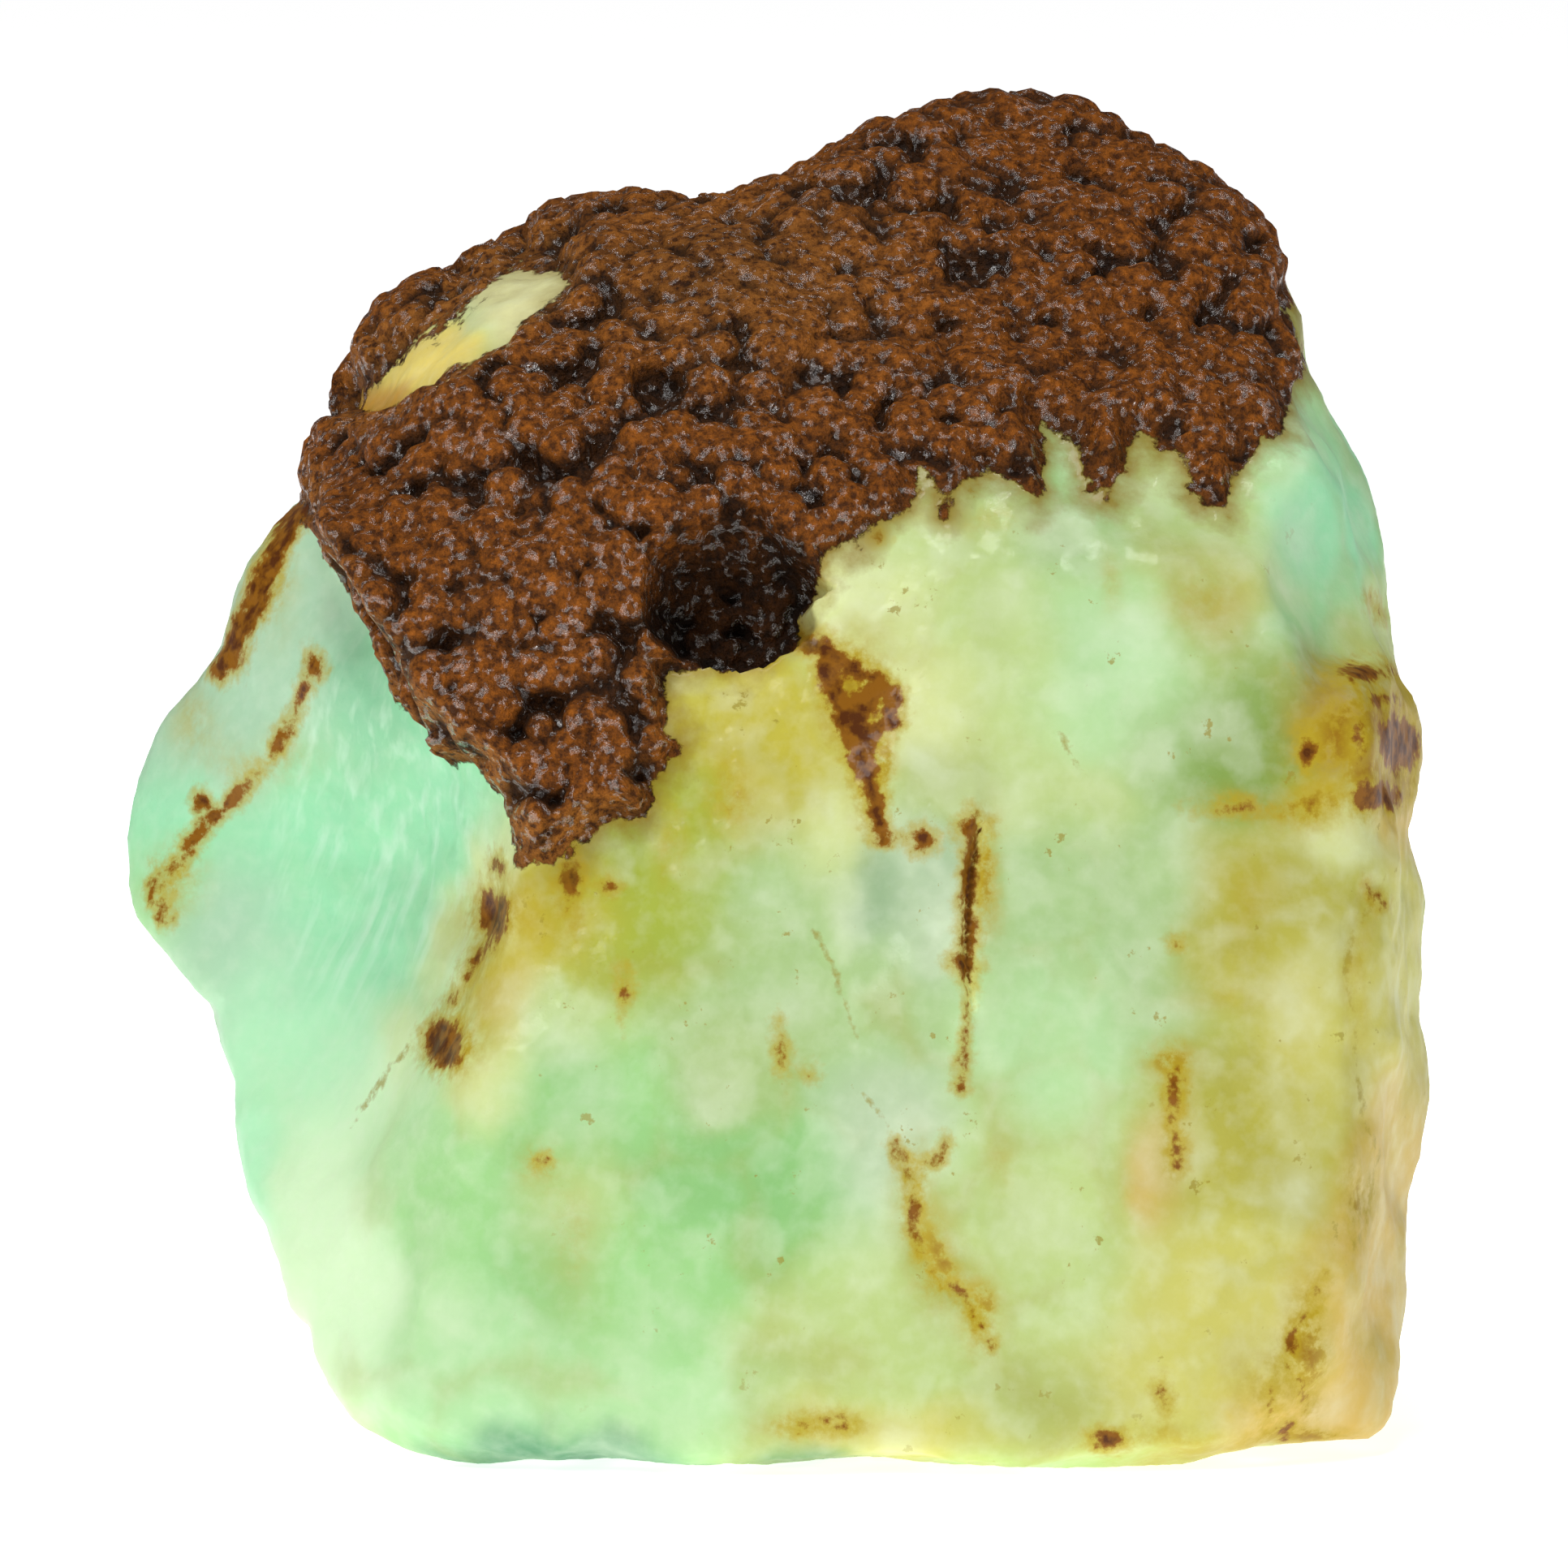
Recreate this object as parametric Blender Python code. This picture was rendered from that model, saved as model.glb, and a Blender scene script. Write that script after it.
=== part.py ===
"""A rough piece of chrysoprase with its brown weathered crust, as one faceted solid.

The stone is described as it is seen from the front: u runs to the right, v up and w towards
the viewer, all in millimetres from the middle of the front view. Its faces are fractures, each
given by a place on it, the way it faces and how far it bows out or hollows in. The front view's
outline bounds them. The crust lies over the top as a thin bumpy layer with a ragged lower edge.
At the end the stone is tilted back onto its flat base, in metres, with +Z up.
"""

import math

import bmesh
import bpy
import numpy as np
from mathutils import Vector, noise

# Driving dimensions, in millimetres and degrees. First the stand: how far the front view is
# tilted back, the height of the base in that view and the middle of the footprint
MM = 0.001
FRONT_TILT = 6.0
BASE_LEVEL = -29.6
MIDDLE = (0.1, -1.26)
BASE_SNAP = 0.12

# The rays that find the surface: where they start, how far they reach, and the mesh they make
HEART = (0.0, -2.0, -6.0)
RAY_REACH = 60.0
HALVINGS = 24
NUDGE = 0.05
FIRST_SPLITS = 7
FACES_KEPT = 9400

# The crust: its thickness as (u, rise), thinner above a height, and the slope of its edge
CRUST_RISE = [(-13.0, 2.2), (-4.0, 1.2), (6.0, 0.7)]
CRUST_THIN_FROM = 11.0
THIN_BLEND = 3.0
CRUST_FLANK = (-0.1, 1.5)
OVERHANG = (-0.2, 0.9)

# Relief: lumps of the crust, swells under them and on the bare stone, and the calm rim
LUMP_SIZE = 3.4
LUMP_HEIGHT = 0.7
SWELL_SIZE = 10.0
SWELL_HEIGHT = 0.8
BARE_SIZE = 9.0
BARE_HEIGHT = 0.6
CALM_RIM = 3.0

# The side walls behind the outline, and where the front ends and the back begins
OUTLINE_ROUNDING = 0.6
WALL_NARROWING = 6
WALL_BLUR = 12
WALL_DETAIL_REACH = 4.5
EDGE_TURN = (-3.0, 1.0)
FRONT_FROM = (-3.0, 3.0)

# The front view's outline, clockwise from the top, as (u, v)
OUTLINE = [
    (11.2, 31.5), (13.8, 31.2), (16.0, 29.6), (18.2, 27.8), (20.0, 27.4), (21.6, 25.7),
    (22.6, 24.1), (23.6, 22.5), (24.2, 21.1), (24.3, 18.8), (25.3, 16.9), (26.3, 15.2),
    (27.3, 12.5), (27.8, 9.5), (28.2, 6.2), (28.5, 4.3), (29.4, 3.3), (29.6, 1.9),
    (29.2, -1.0), (28.7, -2.7), (29.4, -4.9), (29.6, -7.1), (29.4, -11.2), (29.7, -13.8),
    (29.5, -16.2), (28.7, -19.7), (28.9, -22.3), (28.8, -24.5), (28.4, -27.8), (28.0, -29.5),
    (27.2, -30.1), (23.6, -30.4), (20.3, -30.9), (17.3, -31.3), (14.0, -31.5), (11.0, -31.4),
    (7.3, -31.0), (4.0, -30.8), (0.3, -31.0), (-4.5, -31.2), (-7.9, -31.0), (-11.2, -31.1),
    (-14.5, -31.2), (-16.6, -30.7), (-19.0, -29.1), (-20.1, -27.7), (-20.8, -26.0), (-21.0, -25.0),
    (-22.0, -24.1), (-22.6, -22.5), (-23.0, -20.6), (-23.9, -18.8), (-24.4, -16.4), (-24.5, -14.3),
    (-25.1, -12.7), (-25.3, -10.6), (-26.5, -9.5), (-27.7, -8.2), (-29.0, -6.6), (-29.6, -5.0),
    (-29.7, -3.1), (-29.2, -0.8), (-28.6, 1.0), (-28.0, 2.3), (-26.4, 4.0), (-25.3, 5.8),
    (-24.7, 7.7), (-23.9, 9.5), (-22.7, 11.2), (-21.3, 12.6), (-21.1, 14.0), (-20.5, 15.4),
    (-20.0, 16.9), (-19.6, 18.4), (-19.0, 19.7), (-18.4, 20.9), (-17.0, 22.1), (-15.0, 22.7),
    (-13.2, 24.2), (-11.6, 24.9), (-10.2, 25.8), (-8.0, 26.1), (-5.6, 26.1), (-3.1, 25.9),
    (-1.0, 26.5), (1.2, 27.5), (3.2, 28.5), (4.7, 29.5), (6.6, 30.2), (8.8, 30.9),
]

# How far towards the viewer the outline lies, as (angle from +u towards +v, w)
OUTLINE_DEPTH = [
    (-180, -4.0), (-150, 1.0), (-125, 13.0), (-90, 18.0), (-55, 14.0), (-38, 6.0),
    (0, 2.0), (35, -4.0), (70, -9.0), (110, -9.0), (150, -4.0), (180, -4.0),
]

# How round the side walls are from front to back, as (angle, radius)
WALL_RADIUS = [
    (-180, 45), (-150, 60), (-125, 400), (-90, 900), (-55, 900), (-38, 90), (0, 50), (180, 45),
]

# The part of the outline that is crust, as (angle, share)
OUTLINE_CRUST = [(40, 0.0), (50, 1.0), (144, 1.0), (151, 0.0)]

# Fracture faces: name, place (u, v, w), turned to the right, turned up, bow radius, edge rounding
FACES = [
    ("front", (4.0, -12.0, 19.8), 0, 5, 150, 1.5),
    ("front turning right", (21.0, -10.0, 18.0), 16, 2, 250, 2.0),
    ("front turning left", (-15.5, -22.0, 18.9), -18, -3, 90, 2.0),
    ("crust slope", (1.0, 9.0, 17.8), 2, 41, 120, 2.0),
    ("crust slope right", (15.0, 15.5, 16.6), 14, 36, 120, 2.0),
    ("crust slope left", (-12.0, 8.0, 17.0), -26, 30, 90, 2.5),
    ("shoulder by the window", (-15.0, 19.0, 7.0), -34, 50, 60, 2.0),
    ("back", (2.0, -6.0, -20.5), 184, 5, 180, 2.0),
    ("back turning left", (-20.0, -4.0, -14.5), -138, 4, 200, 1.0),
    ("back turning right", (21.0, -8.0, -14.5), 140, -2, 200, 1.0),
    ("back of the top", (6.0, 22.0, -19.0), 176, 24, 120, 1.5),
    ("hollow under the front", (-9.0, -31.2, 17.5), -10, -52, -9, 0.6),
    ("hollow low at the back", (9.0, -13.0, -18.6), 170, -8, -26, 0.6),
    ("hollow high at the back", (-12.0, 3.0, -16.6), -158, 10, -19, 0.6),
    ("hollow low on the right", (27.0, -17.0, -4.0), 96, -6, -13, 0.6),
]

# Breaks on the right, which left a knob standing: its middle, and half sizes along u, v and w
RIGHT_BREAKS = [
    ("right strip", (26.9, -14.0, 15.4), 60, 0, 500, 0.8),
    ("hollow upper right", (24.6, 9.5, 9.6), 54, 12, -16, 0.6),
]
KNOB = ((24.4, 1.2, 9.4), (6.0, 4.2, 7.0))

# Breaks on the left, which stop at the crust's edge and leave it standing over them
LEFT_BREAKS = [
    ("left hollow", (-16.8, -4.5, 7.8), -53, 2, -27, 0.8),
    ("left lobe", (-21.4, 3.8, 4.0), -50, 13, 300, 0.6),
]

# The crust's lower edge, from left to right, on the front and on the back, as (u, v)
CRUST_EDGE_FRONT = [
    (-40.0, 14.0), (-21.3, 12.6), (-21.0, 11.2), (-20.5, 9.9), (-19.4, 8.3), (-18.3, 6.3),
    (-17.1, 4.7), (-16.4, 2.9), (-15.2, 1.7), (-14.6, 0.6), (-13.4, 0.4), (-12.6, -0.8),
    (-11.7, -2.2), (-11.2, -4.2), (-9.9, -4.1), (-8.7, -3.2), (-7.2, -2.2), (-5.8, -1.8),
    (-5.5, -0.4), (-4.0, 1.2), (-4.7, 1.9), (-4.9, 2.9), (-4.7, 4.5), (-3.2, 4.7),
    (-1.8, 4.9), (-0.2, 5.6), (0.9, 6.1), (1.2, 7.3), (1.9, 9.3), (2.9, 10.1),
    (4.3, 10.8), (6.0, 12.1), (6.7, 13.4), (7.4, 13.1), (7.8, 11.7), (8.5, 13.1),
    (9.8, 13.8), (10.6, 13.5), (11.5, 12.7), (12.1, 12.3), (12.2, 14.1), (12.2, 15.7),
    (13.3, 15.2), (14.0, 14.1), (14.3, 12.9), (15.2, 12.6), (15.7, 13.1), (16.1, 14.5),
    (16.6, 14.9), (17.7, 14.4), (18.7, 14.1), (19.1, 13.2), (19.6, 12.4), (20.5, 12.1),
    (20.8, 13.2), (22.0, 14.9), (23.2, 15.1), (23.4, 17.0), (24.1, 18.0), (24.3, 18.9),
    (23.6, 20.6), (23.3, 21.9), (23.4, 23.0), (40.0, 24.0),
]
CRUST_EDGE_BACK = [
    (-40.0, 14.0), (-21.0, 12.6), (-18.5, 9.0), (-15.5, 10.0), (-13.0, 6.0), (-9.5, 2.5),
    (-7.0, 5.0), (-3.5, 7.5), (-1.0, 6.0), (1.5, 1.5), (4.0, -1.5), (6.5, 2.0),
    (9.0, 6.5), (12.0, 8.0), (14.0, 5.0), (16.0, 9.5), (19.0, 12.0), (22.0, 18.0),
    (23.4, 23.0), (40.0, 24.0),
]
CRUST_TOP = 45.0

# The bare window in the crust: its two ends and its half width
WINDOW = ((-18.0, 17.2), (-10.2, 22.4), 0.95)

# Pits in the crust: middle (u, v), half sizes, depth
PITS = [
    ((-2.0, 8.3), (4.3, 3.4), 4.6),
    ((-5.1, 16.8), (1.3, 1.2), 1.5),
    ((10.1, 24.4), (0.9, 0.8), 0.9),
    ((17.7, 26.6), (1.1, 0.9), 1.0),
]
PIT_RAGGED = 0.3
PIT_RAGGED_SIZE = 3.0

# The crack down the front, top to bottom, and the step in the stone on its left
CRACK = [(9.4, -2.4), (8.9, -4.4), (8.7, -8.0), (9.0, -10.8)]
STEP_HEIGHT = 0.9
STEP_REACH = 2.6
STEP_WIDTH = 0.6


def facing(turned_right, turned_up):
    """The unit direction that a face looks in, from two angles in degrees."""
    right = math.radians(turned_right)
    up = math.radians(turned_up)
    return np.array([math.sin(right) * math.cos(up), math.sin(up), math.cos(right) * math.cos(up)])


def soft_step(start, end, values):
    """Rises from 0 at start to 1 at end, smoothly."""
    share = np.clip((values - start) / (end - start), 0, 1)
    return share * share * (3 - 2 * share)


def soft_max(first, second, rounding):
    """The larger of two distances, with the edge between them rounded."""
    share = np.clip(0.5 + 0.5 * (first - second) / rounding, 0, 1)
    return second + (first - second) * share + rounding * share * (1 - share)


def distance_to_face(points, face):
    """How far the points stand out of a fracture face, negative inside the stone."""
    place, turned_right, turned_up, bow = face[1:5]
    outwards = facing(turned_right, turned_up)
    middle = np.array(place) - bow * outwards
    return math.copysign(1, bow) * (np.linalg.norm(points - middle, axis=1) - abs(bow))


def by_angle(table, points):
    """The value of a table of (degrees, value) at each point's angle in the front view."""
    degrees = np.degrees(np.arctan2(points[:, 1], points[:, 0]))
    angles, values = np.array(table).T
    return np.interp(degrees, angles, values, period=360)


def outline_by_angle():
    """The outline's reach at each whole degree, and the same with its small steps evened out."""
    polar = [(math.degrees(math.atan2(v, u)), math.hypot(u, v)) for u, v in OUTLINE]
    degrees = np.arange(-180, 180)
    angles, reaches = np.array(polar).T
    sharp = np.interp(degrees, angles, reaches, period=360)
    even = np.min([np.roll(sharp, turn) for turn in range(-WALL_NARROWING, WALL_NARROWING + 1)], axis=0)
    even = np.mean([np.roll(even, turn) for turn in range(-WALL_BLUR, WALL_BLUR + 1)], axis=0)
    return np.column_stack([degrees, sharp]), np.column_stack([degrees, even])


SHARP_REACH, EVEN_REACH = outline_by_angle()


def crust_thickness(points):
    """The crust's thickness: thickest low on the left, thin on the right."""
    by_side = np.interp(points[:, 0], *np.array(CRUST_RISE).T)
    usual = CRUST_RISE[1][1]
    thinned = soft_step(CRUST_THIN_FROM - THIN_BLEND, CRUST_THIN_FROM + THIN_BLEND, points[:, 1])
    return by_side + (np.minimum(by_side, usual) - by_side) * thinned


def distance_to_outline(points):
    """How far the points stand out of the side walls, whose widest line is the front outline."""
    off_line = points[:, 2] - by_angle(OUTLINE_DEPTH, points)
    detail = np.exp(-((off_line / WALL_DETAIL_REACH) ** 2))
    even = by_angle(EVEN_REACH, points)
    reach = even + (by_angle(SHARP_REACH, points) - even) * detail
    under_crust = by_angle(OUTLINE_CRUST, points) * crust_thickness(points)
    drawn_in = under_crust + off_line**2 / (2 * by_angle(WALL_RADIUS, points))
    return np.hypot(points[:, 0], points[:, 1]) - reach + drawn_in


def distance_to_knob(points):
    """Roughly how far the points stand out of the knob."""
    middle, half_sizes = KNOB
    share = np.linalg.norm((points - middle) / half_sizes, axis=1)
    return (share - 1) * min(half_sizes)


def distance_to_stone(points, left_breaks):
    """How far the points stand out of the stone without its crust, negative inside."""
    far = distance_to_face(points, FACES[0])
    for face in FACES[1:] + left_breaks:
        far = soft_max(far, distance_to_face(points, face), face[5])
    knob = distance_to_knob(points)
    for face in RIGHT_BREAKS:
        taken = -soft_max(-distance_to_face(points, face), -knob, face[5])
        far = soft_max(far, taken, face[5])
    return soft_max(far, distance_to_outline(points), OUTLINE_ROUNDING)


def surface_along(directions, left_breaks):
    """The points where rays from the stone's heart leave it, by halving the interval."""
    near = np.zeros(len(directions))
    far = np.full(len(directions), RAY_REACH)
    for _ in range(HALVINGS):
        middle = (near + far) / 2
        outside = distance_to_stone(HEART + directions * middle[:, None], left_breaks) > 0
        far = np.where(outside, middle, far)
        near = np.where(outside, near, middle)
    return HEART + directions * near[:, None]


def outwards_at(points, left_breaks):
    """The unit direction straight out of the surface at each point."""
    here = distance_to_stone(points, left_breaks)
    slope = np.empty_like(points)
    for axis in range(3):
        moved = points.copy()
        moved[:, axis] += NUDGE
        slope[:, axis] = distance_to_stone(moved, left_breaks) - here
    return slope / np.linalg.norm(slope, axis=1)[:, None]


def distance_to_path(points, path):
    """The distance in the front view from each point to a path of straight runs."""
    nearest = np.full(len(points), np.inf)
    for start, end in zip(path, path[1:]):
        run = np.subtract(end, start)
        share = np.clip((points[:, :2] - start) @ run / (run @ run), 0, 1)
        off = points[:, :2] - start - share[:, None] * run
        nearest = np.minimum(nearest, np.linalg.norm(off, axis=1))
    return nearest


def above_edge(points, edge):
    """The distance to the crust's edge in the front view, positive on the crust's side."""
    loop = edge + [(edge[-1][0], CRUST_TOP), (edge[0][0], CRUST_TOP), edge[0]]
    crossings = np.zeros(len(points), dtype=int)
    for (u1, v1), (u2, v2) in zip(loop, loop[1:]):
        spans = (v1 > points[:, 1]) != (v2 > points[:, 1])
        rise = v2 - v1 if v2 != v1 else 1.0
        meets = u1 + (points[:, 1] - v1) * (u2 - u1) / rise
        crossings += spans & (points[:, 0] < meets)
    side = np.where(crossings % 2 == 1, 1.0, -1.0)
    return side * distance_to_path(points, edge)


def crust_cover(points):
    """How far inside the crust each point lies, negative on bare stone."""
    front = above_edge(points, CRUST_EDGE_FRONT)
    back = above_edge(points, CRUST_EDGE_BACK)
    is_front = soft_step(*EDGE_TURN, points[:, 2] - by_angle(OUTLINE_DEPTH, points))
    cover = back + (front - back) * is_front
    first_end, second_end, half_width = WINDOW
    window = distance_to_path(points, [first_end, second_end]) - half_width
    return np.where(is_front > 0.5, np.minimum(cover, window), cover)


def lumps(points, size):
    """Rounded lumps about as wide as size, from 0 between them to 1 on top."""
    heights = np.empty(len(points))
    for index, point in enumerate(points / size):
        heights[index] = 1 - noise.voronoi(Vector(point))[0][0]
    return heights


def waves(points, size):
    """Soft swells about as wide as size, from -1 to 1."""
    return np.array([noise.fractal(Vector(point), 1.0, 2.0, 3) for point in points / size])


def relief(points):
    """How far the surface rises above the fracture faces: crust, pits, crack and swells."""
    cover = crust_cover(points)
    is_crust = soft_step(*CRUST_FLANK, cover)
    is_front = soft_step(*FRONT_FROM, points[:, 2])
    off_line = points[:, 2] - by_angle(OUTLINE_DEPTH, points)
    calm = 1 - np.exp(-((off_line / CALM_RIM) ** 2))
    bumps = LUMP_HEIGHT * (lumps(points, LUMP_SIZE) - 0.5)
    swells = calm * SWELL_HEIGHT * waves(points, SWELL_SIZE)
    rise = is_crust * (crust_thickness(points) + bumps + swells)
    rise = rise + (1 - is_crust) * calm * BARE_HEIGHT * waves(points, BARE_SIZE)
    for middle, half_sizes, depth in PITS:
        off_middle = np.linalg.norm((points[:, :2] - middle) / half_sizes, axis=1)
        off_middle = off_middle + PIT_RAGGED * waves(points, PIT_RAGGED_SIZE)
        bowl = np.sqrt(np.clip(1 - off_middle**2, 0, 1))
        rise = rise - depth * bowl * is_front
    from_crack = distance_to_path(points, CRACK)
    crack_u = np.interp(points[:, 1], *np.array(CRACK[::-1]).T[::-1])
    left_of_crack = soft_step(-STEP_WIDTH, STEP_WIDTH, crack_u - points[:, 0])
    step = STEP_HEIGHT * np.exp(-from_crack / STEP_REACH) * left_of_crack
    return rise + step * is_front


def stand_up(points):
    """Tilts the front view back onto the base: metres, +X right, +Y away and +Z up."""
    tilt = math.radians(FRONT_TILT)
    u, v, w = points.T
    away = v * math.sin(tilt) - w * math.cos(tilt)
    height = v * math.cos(tilt) + w * math.sin(tilt) - BASE_LEVEL
    return np.column_stack([u - MIDDLE[0], away - MIDDLE[1], np.maximum(height, 0)]) * MM


def stone_points(directions):
    """The finished surface along rays from the stone's heart, as it stands on its base."""
    whole = surface_along(directions, [])
    broken = surface_along(directions, LEFT_BREAKS)
    kept = soft_step(*OVERHANG, crust_cover(whole))[:, None]
    surface = broken + (whole - broken) * kept
    outwards = outwards_at(whole, []) * kept + outwards_at(broken, LEFT_BREAKS) * (1 - kept)
    return stand_up(surface + outwards * relief(surface)[:, None])


def stone_finish():
    """Pale green chalcedony, waxy where it is broken."""
    material = bpy.data.materials.new("chrysoprase")
    material.use_nodes = True
    shader = material.node_tree.nodes["Principled BSDF"]
    shader.inputs["Base Color"].default_value = (0.42, 0.72, 0.42, 1)
    shader.inputs["Roughness"].default_value = 0.35
    shader.inputs["Metallic"].default_value = 0.0
    return material


def fine_stone():
    """A fine closed mesh of the stone: a ball of rays, each point moved out to the surface."""
    fine = bmesh.new()
    bmesh.ops.create_icosphere(fine, subdivisions=FIRST_SPLITS, radius=1)
    rays = np.array([vertex.co for vertex in fine.verts])
    rays = rays / np.linalg.norm(rays, axis=1)[:, None]
    for vertex, place in zip(fine.verts, stone_points(rays)):
        vertex.co = place
    mesh = bpy.data.meshes.new("fine stone")
    fine.to_mesh(mesh)
    fine.free()
    return mesh


def make_stone():
    """The stone as a named object, with as few faces as its shape needs and a flat base."""
    stone = bpy.data.objects.new("chrysoprase", fine_stone())
    bpy.context.scene.collection.objects.link(stone)
    thin_out = stone.modifiers.new("fewer faces", "DECIMATE")
    thin_out.ratio = FACES_KEPT / len(stone.data.polygons)
    graph = bpy.context.evaluated_depsgraph_get()
    mesh = bpy.data.meshes.new_from_object(stone.evaluated_get(graph))
    stone.modifiers.clear()
    stone.data = mesh
    for vertex in mesh.vertices:
        if vertex.co.z < BASE_SNAP * MM:
            vertex.co.z = 0
    mesh.materials.append(stone_finish())


for old in list(bpy.data.objects):
    bpy.data.objects.remove(old)
make_stone()
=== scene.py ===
# %% [markdown]
# # A rough piece of chrysoprase
#
# Chrysoprase is chalcedony, a quartz too fine-grained to show crystals, coloured apple green by a
# little nickel. This piece was broken out of its vein. Its top still has the brown iron oxide
# crust that the weather grew on it, and every other side is a fresh break. It is one stone, so it
# is one mesh here, with one material that changes from stone to crust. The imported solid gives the
# place and the size; the mesh adds what is too fine for it.

# %% Load the frame
import math

import bmesh
import bpy
import numpy as np
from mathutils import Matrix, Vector, noise


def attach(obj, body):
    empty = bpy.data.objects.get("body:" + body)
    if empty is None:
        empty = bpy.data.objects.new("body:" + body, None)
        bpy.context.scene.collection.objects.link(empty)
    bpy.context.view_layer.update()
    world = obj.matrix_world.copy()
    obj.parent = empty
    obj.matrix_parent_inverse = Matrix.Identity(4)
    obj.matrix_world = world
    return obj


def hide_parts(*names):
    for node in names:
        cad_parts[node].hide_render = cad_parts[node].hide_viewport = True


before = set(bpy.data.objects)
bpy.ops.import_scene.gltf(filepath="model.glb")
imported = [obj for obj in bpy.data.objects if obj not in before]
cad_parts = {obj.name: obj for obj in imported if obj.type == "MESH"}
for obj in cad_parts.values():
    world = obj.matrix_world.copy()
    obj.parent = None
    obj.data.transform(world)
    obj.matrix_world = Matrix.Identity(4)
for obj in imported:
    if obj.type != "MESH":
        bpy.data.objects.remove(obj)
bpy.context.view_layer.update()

MM = 0.001

# %% [markdown]
# ## The front view
#
# A broken stone has no axis and no plan, so the best ruler for it is one view. Everything below
# is in millimetres as seen from the front: u to the right, v up and w towards the viewer. The
# outline in that view is the list that a person would draw round the stone. How far towards the
# viewer that line lies changes round the stone, and so does the roundness of the wall behind it.

# %% The outline and the walls behind it
OUTLINE = [
    (11.2, 31.5), (13.8, 31.2), (16.0, 29.6), (18.2, 27.8), (20.0, 27.4), (21.6, 25.7),
    (22.6, 24.1), (23.6, 22.5), (24.2, 21.1), (24.3, 18.8), (25.3, 16.9), (26.3, 15.2),
    (27.3, 12.5), (27.8, 9.5), (28.2, 6.2), (28.5, 4.3), (29.4, 3.3), (29.6, 1.9),
    (29.2, -1.0), (28.7, -2.7), (29.4, -4.9), (29.6, -7.1), (29.4, -11.2), (29.7, -13.8),
    (29.5, -16.2), (28.7, -19.7), (28.9, -22.3), (28.8, -24.5), (28.4, -27.8), (28.0, -29.5),
    (27.2, -30.1), (23.6, -30.4), (20.3, -30.9), (17.3, -31.3), (14.0, -31.5), (11.0, -31.4),
    (7.3, -31.0), (4.0, -30.8), (0.3, -31.0), (-4.5, -31.2), (-7.9, -31.0), (-11.2, -31.1),
    (-14.5, -31.2), (-16.6, -30.7), (-19.0, -29.1), (-20.1, -27.7), (-20.8, -26.0), (-21.0, -25.0),
    (-22.0, -24.1), (-22.6, -22.5), (-23.0, -20.6), (-23.9, -18.8), (-24.4, -16.4), (-24.5, -14.3),
    (-25.1, -12.7), (-25.3, -10.6), (-26.5, -9.5), (-27.7, -8.2), (-29.0, -6.6), (-29.6, -5.0),
    (-29.7, -3.1), (-29.2, -0.8), (-28.6, 1.0), (-28.0, 2.3), (-26.4, 4.0), (-25.3, 5.8),
    (-24.7, 7.7), (-23.9, 9.5), (-22.7, 11.2), (-21.3, 12.6), (-21.1, 14.0), (-20.5, 15.4),
    (-20.0, 16.9), (-19.6, 18.4), (-19.0, 19.7), (-18.4, 20.9), (-17.0, 22.1), (-15.0, 22.7),
    (-13.2, 24.2), (-11.6, 24.9), (-10.2, 25.8), (-8.0, 26.1), (-5.6, 26.1), (-3.1, 25.9),
    (-1.0, 26.5), (1.2, 27.5), (3.2, 28.5), (4.7, 29.5), (6.6, 30.2), (8.8, 30.9),
]
OUTLINE_DEPTH = [
    (-180, -4.0), (-150, 1.0), (-125, 13.0), (-90, 18.0), (-55, 14.0), (-38, 6.0),
    (0, 2.0), (35, -4.0), (70, -9.0), (110, -9.0), (150, -4.0), (180, -4.0),
]
WALL_RADIUS = [
    (-180, 45), (-150, 60), (-125, 400), (-90, 900), (-55, 900), (-38, 90), (0, 50), (180, 45),
]
WALL_NARROWING = 6
WALL_BLUR = 12
WALL_DETAIL_REACH = 4.5


def by_angle(table, points):
    """The value of a table of (degrees, value) at each point's angle in the front view."""
    degrees = np.degrees(np.arctan2(points[:, 1], points[:, 0]))
    angles, values = np.array(table).T
    return np.interp(degrees, angles, values, period=360)


def outline_by_angle():
    """The outline's reach at each whole degree, and the same with its small steps evened out."""
    polar = [(math.degrees(math.atan2(v, u)), math.hypot(u, v)) for u, v in OUTLINE]
    degrees = np.arange(-180, 180)
    angles, reaches = np.array(polar).T
    sharp = np.interp(degrees, angles, reaches, period=360)
    even = np.min([np.roll(sharp, turn) for turn in range(-WALL_NARROWING, WALL_NARROWING + 1)], axis=0)
    even = np.mean([np.roll(even, turn) for turn in range(-WALL_BLUR, WALL_BLUR + 1)], axis=0)
    return np.column_stack([degrees, sharp]), np.column_stack([degrees, even])


SHARP_REACH, EVEN_REACH = outline_by_angle()
print("outline points:", len(OUTLINE))

# %% [markdown]
# ## The fracture faces
#
# Chalcedony breaks like glass, in broad curved faces. Each face is a very large ball or, where
# the break is hollow, the outside of one: a place, the way it looks, and a radius. A point's
# distance to the stone is then the largest of its distances to the faces. That is how a
# sculptor works, one cut at a time, and it keeps every cut editable. Modelling the stone by
# pushing points would give the same form with nothing left to adjust.

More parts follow.
